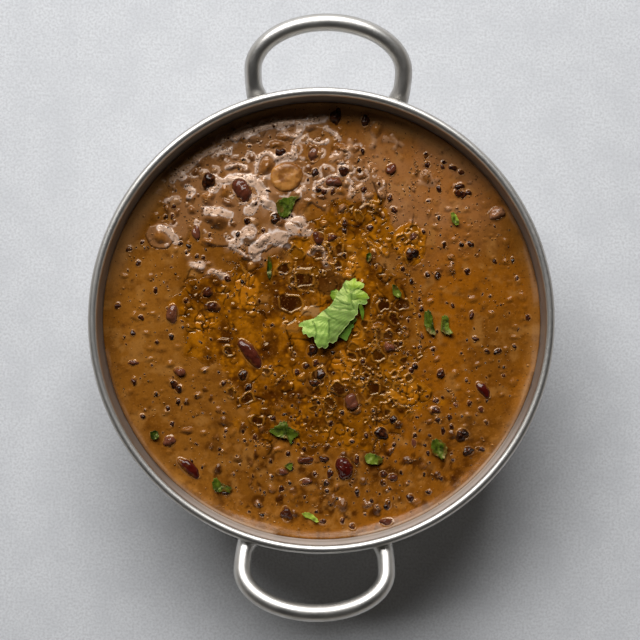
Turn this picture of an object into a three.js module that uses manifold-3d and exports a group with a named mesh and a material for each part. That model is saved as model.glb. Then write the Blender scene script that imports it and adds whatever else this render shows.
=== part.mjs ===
// Dal makhani served in a round two-handled pan of stainless steel.
//
// Millimetres, +Z up. The origin is the centre of the pan's flat base, and the two wire handles
// lie along +Y (back) and -Y (front). The dal is one solid up to its surface, with the whole
// black gram that shows fused on. Kidney beans, the onion slice and the coriander are loose on it.
import * as THREE from "three";
import { mergeVertices } from "three/addons/utils/BufferGeometryUtils.js";
import Module from "manifold-3d";

const wasm = await Module();
wasm.setup();

// ---------------------------------------------------------------- driving dimensions
const RIM_RADIUS = 110; // outside of the rolled rim
const PAN_HEIGHT = 66;
const BASE_RADIUS = 60; // flat part of the base
const WALL = 1.2;
const BEAD_RADIUS = 2.15; // rolled rim's round section
const PAN_SIDES = 72;
const WALL_STEPS = 7;

const WIRE_RADIUS = 4.1; // handle wire
const HANDLE_WELD_HEIGHT = 55.5; // wire's centre where it meets the wall
const HANDLE_WELD_Y = 101.4; // the wall's distance from the pan's axis plane at a handle leg
const HANDLE_SIDES = 10;
const HANDLE_STEPS = 32;
const HANDLES = [
  { name: "handle_back", halfWidth: 35.6, loopDepth: 23.1, tiltDegrees: 18, turn: 0 },
  { name: "handle_front", halfWidth: 34, loopDepth: 20.5, tiltDegrees: 24, turn: Math.PI },
];

const DAL_LEVEL = 50; // mean height of the dal's surface
const MENISCUS = 1.2; // how far the dal climbs the wall
const DAL_RINGS = 12; // ring k of the surface has 6 k corners, the last as many as the pan
const MENISCUS_WIDTH = 3;
const FIT_GAP = 0.3; // clearance between parts that touch

const GRAM_COUNT = 66; // whole black gram that stand out of the dal
const GRAM_SEED = 7;
const SHEET_THICKNESS = 0.5; // coriander leaf

// Where things lie on the dal: x and y of the middle, sizes, and the long axis' angle.
const KIDNEY_BEANS = [
  { x: -71.4, y: 1.1, length: 9.6, width: 5.4, angle: 90 },
  { x: -33.8, y: -17.0, length: 17.2, width: 6.6, angle: -52 },
  { x: -61.7, y: -72.5, length: 14.0, width: 5.2, angle: -39 },
  { x: -39.6, y: 61.0, length: 13.0, width: 9.2, angle: -58 },
  { x: 12.8, y: -70.4, length: 11.0, width: 8.4, angle: -73 },
  { x: 78.5, y: -31.2, length: 9.8, width: 4.6, angle: -48 },
  { x: -5.8, y: 79.5, length: 8.0, width: 5.8, angle: 82 },
  { x: 82.7, y: 53.6, length: 8.4, width: 6.0, angle: 22 },
];
const ONION = { x: -18.7, y: 68.2, radius: 7.9, height: 5.2 };

// The largest whole gram: x, y, length, width, angle.
const LARGE_GRAMS = [
  [-52, 47.5, 12.5, 9.5, -8],
  [24, 93, 9.1, 6.2, 82],
  [15.5, -39.5, 8.6, 6.7, 72],
  [-55.5, 57.5, 8.6, 6.7, 90],
  [66, 62.5, 8.6, 4.3, 0],
  [8.5, -32.5, 8.6, 5.8, 0],
  [-61, 40, 8.2, 3.8, 102],
  [-78.5, 38.5, 7.7, 6.7, -28],
  [-52, 5, 7.7, 5.3, 0],
  [12.5, -88, 7.7, 5.8, 82],
  [-14, -93, 7.7, 4.8, -78],
  [-5.5, -67.5, 7.7, 4.8, 0],
  [-56, 65, 7.2, 6.2, 62],
  [4, 97.5, 7.2, 5.8, 82],
  [4.5, 66.5, 6.7, 5.8, 0],
  [-2.5, 40, 6.7, 5.8, 0],
  [49, 69, 6.7, 5.3, 90],
  [30, -53, 6.7, 5.3, 0],
  [69.5, -52.5, 6.2, 5.8, 0],
  [42.5, 33.5, 5.8, 5.3, 0],
];

// Scraps of coriander leaf, with how many lobes each has and how deeply they are cut.
const CORIANDER_BITS = [
  { x: -17.7, y: 54.5, length: 14, width: 8.6, angle: 42, lobes: 2, cut: 0.2 },
  { x: -25.6, y: 24.6, length: 10.2, width: 2.4, angle: 93, lobes: 2, cut: 0.1 },
  { x: 35.5, y: 15.0, length: 7, width: 4.2, angle: -55, lobes: 2, cut: 0.1 },
  { x: 51.8, y: 0.6, length: 12.4, width: 6, angle: -72, lobes: 3, cut: 0.25 },
  { x: 59.9, y: -0.5, length: 9.4, width: 5, angle: -62, lobes: 3, cut: 0.25 },
  { x: -15.4, y: -54.2, length: 15, width: 10.4, angle: -4, lobes: 5, cut: 0.4 },
  { x: -13.7, y: -70.2, length: 4.6, width: 3.6, angle: 25, lobes: 3, cut: 0.3 },
  { x: -45.7, y: -80.9, length: 11, width: 6, angle: -28, lobes: 4, cut: 0.3 },
  { x: -2.8, y: -94.2, length: 9.2, width: 3.2, angle: -26, lobes: 3, cut: 0.25 },
  { x: 26.5, y: -65.6, length: 9.2, width: 4.9, angle: -6, lobes: 2, cut: 0.08 },
  { x: 57.9, y: -60.0, length: 9.8, width: 7.4, angle: -65, lobes: 2, cut: 0.1 },
  { x: 62.4, y: 50.4, length: 6.6, width: 3.2, angle: -62, lobes: 2, cut: 0.1 },
  { x: -78.5, y: -57.3, length: 4.6, width: 3.8, angle: 0, lobes: 3, cut: 0.15 },
  { x: 21.8, y: 30.9, length: 4.4, width: 2.8, angle: 90, lobes: 2, cut: 0.1 },
];

// The big leaf is ruled between two smooth edges, in pairs from its left tip to its right tip:
// the fold, and the edge facing it, which is then toothed.
const LEAF_BLADE = [
  [[-10.8, -2.2], [-10.8, -3.4]],
  [[-7.3, -0.3], [-8.3, -6.4]],
  [[-4.5, 0.5], [-3.8, -7.6]],
  [[-0.7, 3.2], [0.2, -13.6]],
  [[3.2, 6.3], [6.6, -9.8]],
  [[5.6, 9.6], [11.6, -2.6]],
  [[8.1, 14.1], [17.2, 5.4]],
  [[9.4, 16.0], [18.2, 8.4]],
  [[10.1, 17.6], [22.2, 10.8]],
  [[11.0, 19.0], [19.6, 15.0]],
  [[12.6, 19.6], [18.4, 18.8]],
  [[14.2, 20.3], [14.9, 20.9]],
];
const LEAF_TEETH = 13;
const LEAF_TOOTH_DEPTH = 1.3;
// Its folded half shows past the blade in three places: from under the blade, outwards.
const LEAF_TUCKED = [
  [[8.0, -0.5], [17.0, 1.5]],
  [[7.1, -2.7], [14.7, -2.7]],
  [[6.2, -4.9], [12.2, -8.8]],
  [[5.8, -7.7], [8.5, -8.0]],
];
const LEAF_PEEK = [
  [[9.0, 12.4], [7.4, 15.2]],
  [[8.6, 10.5], [3.6, 14.2]],
  [[7.2, 8.8], [4.3, 10.4]],
];
const LEAF_CURL = [
  [[16.6, 10.6], [18.4, 10.5]],
  [[17.9, 6.0], [20.0, 6.6]],
  [[19.5, 1.0], [19.8, 0.9]],
];

// ---------------------------------------------------------------- looks
const steel = new THREE.MeshStandardMaterial({ color: 0xc3c1bd, roughness: 0.28, metalness: 1 });
const sauce = new THREE.MeshStandardMaterial({ color: 0x744616, roughness: 0.3, metalness: 0 });
const beanSkin = new THREE.MeshStandardMaterial({ color: 0x4a1518, roughness: 0.25, metalness: 0 });
const onionFlesh = new THREE.MeshStandardMaterial({ color: 0x9a6a38, roughness: 0.3, metalness: 0 });
const leafGreen = new THREE.MeshStandardMaterial({ color: 0x7ba654, roughness: 0.6, metalness: 0 });
const bitGreen = new THREE.MeshStandardMaterial({ color: 0x2f5f1c, roughness: 0.4, metalness: 0 });

// ---------------------------------------------------------------- helpers
const radians = THREE.MathUtils.degToRad;

function smoothstep(low, high, value) {
  const t = Math.min(1, Math.max(0, (value - low) / (high - low)));
  return t * t * (3 - 2 * t);
}

// A closed mesh as a manifold-3d solid, for cutting and joining.
function toSolid(geometry) {
  const bare = geometry.clone();
  bare.deleteAttribute("normal");
  bare.deleteAttribute("uv");
  const merged = mergeVertices(bare, 1e-4);
  return new wasm.Manifold(
    new wasm.Mesh({
      numProp: 3,
      vertProperties: merged.attributes.position.array,
      triVerts: new Uint32Array(merged.index.array),
    }),
  );
}

function toGeometry(solid) {
  const mesh = solid.getMesh();
  const positions = new Float32Array(mesh.numVert * 3);
  for (let i = 0; i < mesh.numVert; i++) {
    positions.set(mesh.vertProperties.subarray(i * mesh.numProp, i * mesh.numProp + 3), i * 3);
  }
  const geometry = new THREE.BufferGeometry();
  geometry.setAttribute("position", new THREE.BufferAttribute(positions, 3));
  geometry.setIndex(new THREE.BufferAttribute(new Uint32Array(mesh.triVerts), 1));
  geometry.computeVertexNormals();
  return geometry;
}

function fromTriangles(points, triangles) {
  const geometry = new THREE.BufferGeometry();
  geometry.setAttribute("position", new THREE.Float32BufferAttribute(points.flat(), 3));
  geometry.setIndex(triangles.flat());
  geometry.computeVertexNormals();
  return geometry;
}

// A profile of [radius, height] pairs turned round +Z.
function lathe(profile, sides) {
  const points = profile.map(([radius, height]) => new THREE.Vector2(radius, height));
  return new THREE.LatheGeometry(points, sides).rotateX(Math.PI / 2);
}

// Repeatable random numbers from 0 to 1.
function randomSource(seed) {
  let state = seed;
  return () => {
    state = (state * 1664525 + 1013904223) % 4294967296;
    return state / 4294967296;
  };
}

// ---------------------------------------------------------------- pan
const WALL_TOP = PAN_HEIGHT - BEAD_RADIUS; // the bead's centre height
const INNER_RIM_RADIUS = RIM_RADIUS - 2 * BEAD_RADIUS;

// The wall is a quarter ellipse from the flat base up to the rim, seen in section.
function wallPoint(topRadius, bottomHeight, share) {
  const angle = (share * Math.PI) / 2;
  return [
    BASE_RADIUS + (topRadius - BASE_RADIUS) * Math.sin(angle),
    bottomHeight + (WALL_TOP - bottomHeight) * (1 - Math.cos(angle)),
  ];
}

function wallProfile(topRadius, bottomHeight, lowShare, highShare, steps) {
  const points = [];
  for (let i = 0; i <= steps; i++) {
    points.push(wallPoint(topRadius, bottomHeight, lowShare + ((highShare - lowShare) * i) / steps));
  }
  return points;
}

function panGeometry() {
  const outerShare = 0.98; // the outside wall ends where it runs into the bead
  const outside = wallProfile(INNER_RIM_RADIUS + WALL, 0, 0, outerShare, WALL_STEPS);
  const inside = wallProfile(INNER_RIM_RADIUS, WALL, 0, 1, WALL_STEPS).reverse();
  const bead = [];
  for (const degrees of [-100, -45, 0, 45, 90, 135]) {
    bead.push([
      RIM_RADIUS - BEAD_RADIUS + BEAD_RADIUS * Math.cos(radians(degrees)),
      WALL_TOP + BEAD_RADIUS * Math.sin(radians(degrees)),
    ]);
  }
  return lathe([[0, 0], ...outside, ...bead, ...inside, [0, WALL]], PAN_SIDES);
}

// Everything inside the pan's outer skin, with a gap round it, to cut the handles' feet.
function panEnvelope() {
  const skin = wallProfile(INNER_RIM_RADIUS + WALL + FIT_GAP, -FIT_GAP, 0, 1, 2 * WALL_STEPS);
  return toSolid(lathe([[0, -FIT_GAP], ...skin, [0, WALL_TOP]], PAN_SIDES));
}

// ---------------------------------------------------------------- handles
// One wire loop: half an ellipse outside, with legs that close in a little towards the wall.
// Each foot is flattened and spread inwards where it is welded on.
function handleGeometry({ halfWidth, loopDepth, tiltDegrees }) {
  const tilt = radians(tiltDegrees);
  const loopCentre = 16.6 / Math.cos(tilt);
  const legDepth = 47;
  const intoWall = 3;
  const footLength = 11;
  const startAngle = Math.asin((loopCentre + intoWall) / legDepth);
  const outwards = new THREE.Vector3(0, Math.cos(tilt), Math.sin(tilt));
  const upwards = new THREE.Vector3(0, -Math.sin(tilt), Math.cos(tilt));
  const weld = new THREE.Vector3(0, HANDLE_WELD_Y, HANDLE_WELD_HEIGHT);

  const flat = (share) => {
    const angle = -startAngle + share * (Math.PI + 2 * startAngle);
    const depth = Math.sin(angle) > 0 ? loopDepth : legDepth;
    return [halfWidth * Math.cos(angle), loopCentre + depth * Math.sin(angle)];
  };
  const place = (across, along, up) =>
    weld.clone().addScaledVector(outwards, along).addScaledVector(upwards, up).setX(across);

  const points = [];
  for (let i = 0; i <= HANDLE_STEPS; i++) {
    const share = i / HANDLE_STEPS;
    const [across, along] = flat(share);
    const [acrossNext, alongNext] = flat(share + 1e-4);
    const direction = new THREE.Vector2(acrossNext - across, alongNext - along).normalize();
    const foot = 1 - smoothstep(1, footLength, along);
    const halfAcross = WIRE_RADIUS * (1 + 0.3 * foot);
    const halfUp = WIRE_RADIUS * (1 - 0.18 * foot);
    const inward = -Math.sign(across) * WIRE_RADIUS * 0.26 * foot;
    for (let k = 0; k < HANDLE_SIDES; k++) {
      const turn = (2 * Math.PI * k) / HANDLE_SIDES;
      const side = halfAcross * Math.cos(turn);
      const point = place(
        across + inward + direction.y * side,
        along - direction.x * side,
        halfUp * Math.sin(turn),
      );
      points.push(point.toArray());
    }
  }
  const triangles = [];
  for (let i = 0; i < HANDLE_STEPS; i++) {
    for (let k = 0; k < HANDLE_SIDES; k++) {
      const a = i * HANDLE_SIDES + k;
      const b = i * HANDLE_SIDES + ((k + 1) % HANDLE_SIDES);
      triangles.push([a, a + HANDLE_SIDES, b], [b, a + HANDLE_SIDES, b + HANDLE_SIDES]);
    }
  }
  const last = HANDLE_STEPS * HANDLE_SIDES;
  for (let k = 1; k < HANDLE_SIDES - 1; k++) {
    triangles.push([0, k, k + 1], [last, last + k + 1, last + k]);
  }
  return toGeometry(toSolid(fromTriangles(points, triangles)).subtract(panEnvelope()));
}

// ---------------------------------------------------------------- dal
const DAL_RADIUS = wallRadiusAt(DAL_LEVEL + MENISCUS) - FIT_GAP;

// The pan's inside radius at a height.
function wallRadiusAt(height) {
  const drop = (WALL_TOP - height) / (WALL_TOP - WALL);
  return BASE_RADIUS + (INNER_RIM_RADIUS - BASE_RADIUS) * Math.sqrt(1 - drop * drop);
}

// The dal's smooth surface: low swells, thicker towards the back left, and a climb at the wall.
function dalHeight(x, y) {
  const radius = Math.hypot(x, y);
  const swell =
    0.34 * Math.sin(x / 17 + 0.6) * Math.cos(y / 21 - 0.4) + 0.22 * Math.sin((x - y) / 13 + 1.3);
  const mound = 0.9 * Math.exp(-((x + 34) ** 2 + (y - 52) ** 2) / 900);
  const climb = MENISCUS * Math.exp(-(DAL_RADIUS - radius) / 1.8);
  const edge = 1 - smoothstep(DAL_RADIUS - 12, DAL_RADIUS, radius);
  return DAL_LEVEL + (swell + mound) * edge + climb;
}

// Rings of corners, 6 more in each, give the surface even triangles; below it the side follows
// the pan's wall down to the base.
function dalBody() {
  const points = [[0, 0, dalHeight(0, 0)]];
  const triangles = [];
  const ringStart = (k) => 1 + 3 * k * (k - 1);
  for (let k = 1; k <= DAL_RINGS; k++) {
    for (let j = 0; j < 6 * k; j++) {
      const angle = (2 * Math.PI * j) / (6 * k);
      const radius = ((DAL_RADIUS - MENISCUS_WIDTH) * k) / DAL_RINGS;
      const x = radius * Math.cos(angle);
      const y = radius * Math.sin(angle);
      points.push([x, y, dalHeight(x, y)]);
    }
  }
  for (let k = 1; k <= DAL_RINGS; k++) {
    for (let sector = 0; sector < 6; sector++) {
      for (let j = 0; j < k; j++) {
        const outer = ringStart(k) + sector * k + j;
        const outerNext = ringStart(k) + ((sector * k + j + 1) % (6 * k));
        const inner = k === 1 ? 0 : ringStart(k - 1) + ((sector * (k - 1) + j) % (6 * (k - 1)));
        triangles.push([outer, outerNext, inner]);
        if (j < k - 1) {
          const innerNext = ringStart(k - 1) + ((sector * (k - 1) + j + 1) % (6 * (k - 1)));
          triangles.push([inner, outerNext, innerNext]);
        }
      }
    }
  }
  const sides = 6 * DAL_RINGS;
  const profile = wallProfile(INNER_RIM_RADIUS - FIT_GAP, WALL + FIT_GAP, 0, 1, WALL_STEPS);
  const belowLevel = profile.filter(([radius]) => radius < DAL_RADIUS - 1).reverse();
  let above = ringStart(DAL_RINGS);
  for (const [radius, height] of [[DAL_RADIUS], ...belowLevel]) {
    const below = points.length;
    for (let j = 0; j < sides; j++) {
      const angle = (2 * Math.PI * j) / sides;
      const x = radius * Math.cos(angle);
      const y = radius * Math.sin(angle);
      points.push([x, y, height ?? dalHeight(x, y)]);
    }
    for (let j = 0; j < sides; j++) {
      const next = (j + 1) % sides;
      triangles.push([above + j, below + j, above + next], [above + next, below + j, below + next]);
    }
    above = below;
  }
  const bottom = points.length;
  points.push([0, 0, WALL + FIT_GAP]);
  for (let j = 0; j < sides; j++) {
    triangles.push([bottom, above + ((j + 1) % sides), above + j]);
  }
  return toSolid(fromTriangles(points, triangles));
}

// True where a grain of this radius would touch a loose piece or the pan.
function isTaken(x, y, radius) {
  const near = (piece, reach) => Math.hypot(piece.x - x, piece.y - y) < reach + radius;
  const overLeaf = x > -13 && x < 24 && y > -16 && y < 24;
  return (
    Math.hypot(x, y) > DAL_RADIUS - radius - 3 ||
    overLeaf ||
    near(ONION, ONION.radius + 1) ||
    KIDNEY_BEANS.some((bean) => near(bean, bean.length / 2 + 1)) ||
    CORIANDER_BITS.some((bit) => near(bit, bit.length / 2 + 0.8))
  );
}

// Whole gram, half sunk, thicker in the front middle where the pan was stirred last.
function gramSpots() {
  const random = randomSource(GRAM_SEED);
  const spots = LARGE_GRAMS.map(([x, y, length, width, angle]) => {
    return { x, y, length, width, turn: radians(angle) };
  });
  for (let tries = 0; spots.length < GRAM_COUNT && tries < 9000; tries++) {
    const angle = 2 * Math.PI * random();
    const reach = DAL_RADIUS * Math.sqrt(random());
    const x = reach * Math.cos(angle);
    const y = reach * Math.sin(angle);
    const length = 6.4 - (2.6 * spots.length) / GRAM_COUNT + 0.6 * random();
    const crowd = 0.35 + 0.65 * Math.exp(-((x - 6) ** 2 + (y + 22) ** 2) / 2600);
    const turn = Math.PI * random();
    const keep = random() < crowd;
    const apart = spots.every((spot) => Math.hypot(spot.x - x, spot.y - y) > 7);
    if (keep && apart && !isTaken(x, y, length / 2)) {
      spots.push({ x, y, length, width: 0.8 * length, turn });
    }
  }
  return spots;
}

function gramSolid({ x, y, length, width, turn }) {
  const grain = new THREE.SphereGeometry(0.55, 6, 3)
    .rotateX(Math.PI / 2)
    .scale(length, width, width)
    .rotateZ(turn)
    .translate(x, y, dalHeight(x, y) - 0.1 * width);
  return toSolid(grain);
}

// A bent ellipsoid with its hollow side along the length.
function beanGeometry(length, width, grow) {
  const geometry = new THREE.SphereGeometry(1, 10, 7).rotateZ(Math.PI / 2);
  const position = geometry.attributes.position;
  for (let i = 0; i < position.count; i++) {
    const along = position.getX(i);
    const bend = 0.16 * width * (0.5 - along * along);
    position.setXYZ(
      i,
      along * (length / 2 + grow),
      position.getY(i) * (width / 2 + grow) + bend,
      position.getZ(i) * (width * 0.44 + grow),
    );
  }
  return geometry;
}

function placedBean({ x, y, length, width, angle }, grow) {
  return beanGeometry(length, width, grow)
    .rotateZ(radians(angle))
    .translate(x, y, dalHeight(x, y) - 0.06 * width);
}

// A slice of onion lying flat, round at its edge and a little domed.
function onionGeometry(grow) {
  const { x, y, radius, height } = ONION;
  const profile = [[0, -height / 2 - grow]];
  for (let degrees = -60; degrees <= 60; degrees += 24) {
    profile.push([
      (radius - height / 2) + (height / 2 + grow) * Math.cos(radians(degrees)),
      (height / 2 + grow) * Math.sin(radians(degrees)),
    ]);
  }
  profile.push([0, height / 2 + grow]);
  return lathe(profile, 18).translate(x, y, dalHeight(x, y) - 1.2);
}

function dalGeometry() {
  let solid = dalBody();
  const carved = [...KIDNEY_BEANS.map((bean) => placedBean(bean, FIT_GAP)), onionGeometry(FIT_GAP)];
  for (const hollow of carved) {
    solid = solid.subtract(toSolid(hollow));
  }
  for (const spot of gramSpots()) {
    solid = solid.add(gramSolid(spot));
  }
  return toGeometry(solid);
}

// ---------------------------------------------------------------- coriander
// A thin sheet over a grid: point(u, v) gives its underside, and both faces are split alike.
function sheetGeometry(stepsU, stepsV, point) {
  const points = [];
  const layer = (stepsU + 1) * (stepsV + 1);
  for (const lift of [0, SHEET_THICKNESS]) {
    for (let i = 0; i <= stepsU; i++) {
      for (let j = 0; j <= stepsV; j++) {
        const [x, y, z] = point(i / stepsU, j / stepsV);
        points.push([x, y, z + lift]);
      }
    }
  }
  const at = (i, j) => i * (stepsV + 1) + j;
  const triangles = [];
  for (let i = 0; i < stepsU; i++) {
    for (let j = 0; j < stepsV; j++) {
      for (const [a, b, c] of [
        [at(i, j), at(i + 1, j), at(i, j + 1)],
        [at(i, j + 1), at(i + 1, j), at(i + 1, j + 1)],
      ]) {
        triangles.push([a, b, c], [layer + a, layer + c, layer + b]);
      }
    }
  }
  const wall = (a, b) => triangles.push([a, layer + a, b], [b, layer + a, layer + b]);
  for (let i = 0; i < stepsU; i++) {
    wall(at(i, 0), at(i + 1, 0));
    wall(at(i + 1, stepsV), at(i, stepsV));
  }
  for (let j = 0; j < stepsV; j++) {
    wall(at(0, j + 1), at(0, j));
    wall(at(stepsU, j), at(stepsU, j + 1));
  }
  return fromTriangles(points, triangles);
}

function facingOut(geometry) {
  const solid = toSolid(geometry);
  if (solid.volume() > 0) {
    return solid;
  }
  const index = geometry.index;
  for (let i = 0; i < index.count; i += 3) {
    const second = index.getX(i + 1);
    index.setX(i + 1, index.getX(i + 2));
    index.setX(i + 2, second);
  }
  return toSolid(geometry);
}

// The blade's height: arched across, raised at its lower left and lower at its right tip.
function leafHeight(x, y) {
  const across = 0.66 * (x - 2) - 0.75 * (y - 5);
  const along = 0.75 * (x - 2) + 0.66 * (y - 5);
  const arch = 2.3 * Math.sin(Math.PI * Math.min(1, Math.max(0, (across + 4) / 20)));
  const raised = 1.3 * Math.exp(-((x - 1) ** 2 + (y + 10) ** 2) / 30);
  const lowered = 0.9 * smoothstep(8, 14, along);
  const wave = 0.25 * Math.sin(1.1 * along) * Math.cos(0.9 * across);
  return dalHeight(x, y) + 1.7 + arch + raised - lowered + wave;
}

// A sheet ruled between two smooth curves, given as pairs of points. height(x, y, u, v) is its
// underside, and teeth notch the second curve.
function ruledSheet(pairs, stepsU, stepsV, height, teeth = 0) {
  const [inner, outer] = [0, 1].map((side) => {
    const points = pairs.map((pair) => new THREE.Vector3(pair[side][0], pair[side][1], 0));
    return new THREE.CatmullRomCurve3(points, false, "catmullrom", 0.5);
  });
  return facingOut(
    sheetGeometry(stepsU, stepsV, (u, v) => {
      const from = inner.getPoint(u);
      const to = outer.getPoint(u);
      const notch = teeth ? LEAF_TOOTH_DEPTH * (1 - Math.abs(Math.sin(Math.PI * teeth * u))) : 0;
      const { x, y } = from.lerp(to, v * Math.max(0.2, 1 - notch / Math.max(4, from.distanceTo(to))));
      return [x, y, height(x, y, u, v)];
    }),
  );
}

function leafGeometry() {
  const folded = (x, y, u, v) => {
    const top = leafHeight(x, y) - 0.15;
    return top + (dalHeight(x, y) + 0.7 - top) * v;
  };
  const curled = (x, y, u) => leafHeight(x, y) - 0.15 - 1.1 * u;
  const blade = ruledSheet(LEAF_BLADE, 3 * LEAF_TEETH, 3, leafHeight, LEAF_TEETH);
  return toGeometry(
    blade
      .add(ruledSheet(LEAF_TUCKED, 7, 2, folded))
      .add(ruledSheet(LEAF_PEEK, 4, 2, folded))
      .add(ruledSheet(LEAF_CURL, 5, 1, curled)),
  );
}

// A torn scrap of leaf: a lobed disc that cups a little, laid on the dal.
function bitGeometry({ x, y, length, width, angle, lobes, cut }) {
  const rim = 10 + (cut > 0.2 ? 4 : 0);
  const turn = radians(angle);
  const points = [];
  const put = (along, across, cup) => {
    const px = x + along * Math.cos(turn) - across * Math.sin(turn);
    const py = y + along * Math.sin(turn) + across * Math.cos(turn);
    points.push([px, py, dalHeight(px, py) + FIT_GAP + 0.1 + cup]);
  };
  for (const lift of [0, SHEET_THICKNESS]) {
    put(0, 0, lift);
    for (const share of [0.55, 1]) {
      for (let k = 0; k < rim; k++) {
        const around = (2 * Math.PI * k) / rim;
        const reach = 0.5 * share * (1 - 0.5 * cut * share * (1 - Math.cos(lobes * around)));
        const cup = share * share * (0.7 + 0.4 * Math.sin(2 * around + x));
        put(length * reach * Math.cos(around), width * reach * Math.sin(around), lift + cup);
      }
    }
  }
  const layer = 1 + 2 * rim;
  const triangles = [];
  for (let k = 0; k < rim; k++) {
    const next = (k + 1) % rim;
    const face = [
      [0, 1 + k, 1 + next],
      [1 + k, 1 + rim + k, 1 + next],
      [1 + next, 1 + rim + k, 1 + rim + next],
    ];
    for (const [p, q, r] of face) {
      triangles.push([layer + p, layer + q, layer + r], [p, r, q]);
    }
    const low = 1 + rim + k;
    const lowNext = 1 + rim + next;
    triangles.push([low, lowNext, layer + low], [lowNext, layer + lowNext, layer + low]);
  }
  return toGeometry(facingOut(fromTriangles(points, triangles)));
}

// ---------------------------------------------------------------- assembly
const dish = new THREE.Group();

function addPiece(name, geometry, material) {
  const mesh = new THREE.Mesh(geometry, material);
  mesh.name = name;
  dish.add(mesh);
  return mesh;
}

addPiece("pan", panGeometry(), steel);
for (const handle of HANDLES) {
  addPiece(handle.name, handleGeometry(handle), steel).rotation.z = handle.turn;
}
addPiece("dal", dalGeometry(), sauce);
KIDNEY_BEANS.forEach((bean, i) => addPiece(`kidney_bean_${i + 1}`, placedBean(bean, 0), beanSkin));
addPiece("onion_slice", onionGeometry(0), onionFlesh);
addPiece("coriander_leaf", leafGeometry(), leafGreen);
CORIANDER_BITS.forEach((bit, i) => addPiece(`coriander_bit_${i + 1}`, bitGeometry(bit), bitGreen));

export default dish;
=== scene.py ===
"""Dal makhani in a two-handled steel pan: the looks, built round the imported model.

Named sizes are millimetres in the row frame, and meshes are made in metres. Places that were
read off the photograph are in its pixels, from its top left corner, and from_photo() turns
them into millimetres in the row frame.
"""

import functools
import math

import bpy
import numpy as np
from mathutils import Euler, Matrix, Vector


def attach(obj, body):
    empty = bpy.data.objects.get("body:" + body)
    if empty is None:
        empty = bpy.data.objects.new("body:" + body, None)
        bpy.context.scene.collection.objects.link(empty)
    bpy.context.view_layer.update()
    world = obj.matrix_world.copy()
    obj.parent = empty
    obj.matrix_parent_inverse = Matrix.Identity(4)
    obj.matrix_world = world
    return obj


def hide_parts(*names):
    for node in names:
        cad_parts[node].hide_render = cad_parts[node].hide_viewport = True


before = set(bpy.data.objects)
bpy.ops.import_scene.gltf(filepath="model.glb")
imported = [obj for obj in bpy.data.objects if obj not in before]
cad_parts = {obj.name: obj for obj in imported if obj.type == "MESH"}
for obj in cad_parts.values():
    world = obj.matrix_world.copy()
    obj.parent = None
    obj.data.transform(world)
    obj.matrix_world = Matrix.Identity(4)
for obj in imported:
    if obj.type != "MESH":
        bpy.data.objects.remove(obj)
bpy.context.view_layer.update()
MM = 0.001

# ------------------------------------------------------------------ sizes, as in the solids
RIM_RADIUS = 110.0
PAN_HEIGHT = 66.0
BASE_RADIUS = 60.0
WALL = 1.2
BEAD_RADIUS = 2.15
WALL_TOP = PAN_HEIGHT - BEAD_RADIUS
INNER_RIM_RADIUS = RIM_RADIUS - 2 * BEAD_RADIUS
WIRE_RADIUS = 4.1
LOOP_INSET = 0.25  # keeps the round wire within the reach of the faceted solid
HANDLE_WELD = (101.4, 55.5)
LOOP_CENTRE = 16.6  # how far out a handle's loop and legs, parts of two ellipses, have their centre
LEG_DEPTH = 47.0  # of the legs' ellipse
LEG_SUNK = 0.6  # how far a leg's end lies behind the weld's place
# Half width, loop depth, tilt in degrees and turn about the pan's axis.
HANDLES = {"handle_back": (35.6, 23.1, 18, 0.0), "handle_front": (34.0, 20.5, 24, math.pi)}
DAL_LEVEL = 50.0
MENISCUS = 1.2
CLIMB_SLOPE = 0.42  # how steeply the thin sauce at the wall rises outwards
CLIMB_REACH = (1.6, 4.4)  # how far in from the wall it starts, at the shaded and the sunny side
CLIMB_BEND = 0.35  # the width over which it turns up
SAUCE_GAP = 0.04  # between the sauce's edge and the wall
FIT_GAP = 0.3
# Places in millimetres, length, width and angle.
BEANS = [
    (-71.4, 1.1, 9.6, 5.4, 90),
    (-33.8, -17.0, 17.2, 6.6, -52),
    (-61.7, -72.5, 14.0, 5.2, -39),
    (-39.6, 61.0, 13.0, 9.2, -58),
    (12.8, -70.4, 11.0, 8.4, -73),
    (78.5, -31.2, 9.8, 4.6, -48),
    (-5.8, 79.5, 8.0, 5.8, 82),
    (82.7, 53.6, 8.4, 6.0, 22),
]
BEAN_PALENESS = [0.25, 0.06, 0.0, 0.12, 0.0, 0.0, 0.3, 0.9]
SUNK_BEANS = (2, 5, 6)  # by their place in BEANS: those with most sauce over them
ONION = (-18.7, 68.2, 7.9, 5.2)  # place, radius and height

# ------------------------------------------------------------------ how fine the meshes are
PAN_SIDES = 288
WALL_STEPS = 36
WIRE_STEPS = 220
WIRE_SIDES = 36
DAL_CELLS = 270  # of the sauce's grid, across the pan
FILM_STEP = 0.4
COLLAR_SIDES = 18
DOME_SIDES = 8
BUBBLE_TRIES = 9000
TIP_COUNT = 420  # small gram tips

# ------------------------------------------------------------------ the photograph's camera
PHOTO_SIZE = 640
PHOTO_RIM_CENTRE = (321.4, 320.5)
PHOTO_MM_PER_PIXEL = 0.4697  # in the plane of the rim
PHOTO_TURN = math.radians(1.6)  # the handles lean clockwise in the frame
CAMERA_HEIGHT = 816.0
SENSOR = 36.0


def turn(x, y, angle):
    return (
        x * math.cos(angle) - y * math.sin(angle),
        x * math.sin(angle) + y * math.cos(angle),
    )


PHOTO_MIDDLE = PHOTO_SIZE / 2
AXIS_X = (PHOTO_MIDDLE - PHOTO_RIM_CENTRE[0]) * PHOTO_MM_PER_PIXEL
AXIS_Y = (PHOTO_RIM_CENTRE[1] - PHOTO_MIDDLE) * PHOTO_MM_PER_PIXEL


def pixel_at(height):
    """The size of a photograph pixel at a height."""
    return PHOTO_MM_PER_PIXEL * (CAMERA_HEIGHT - height) / (CAMERA_HEIGHT - PAN_HEIGHT)


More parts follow.
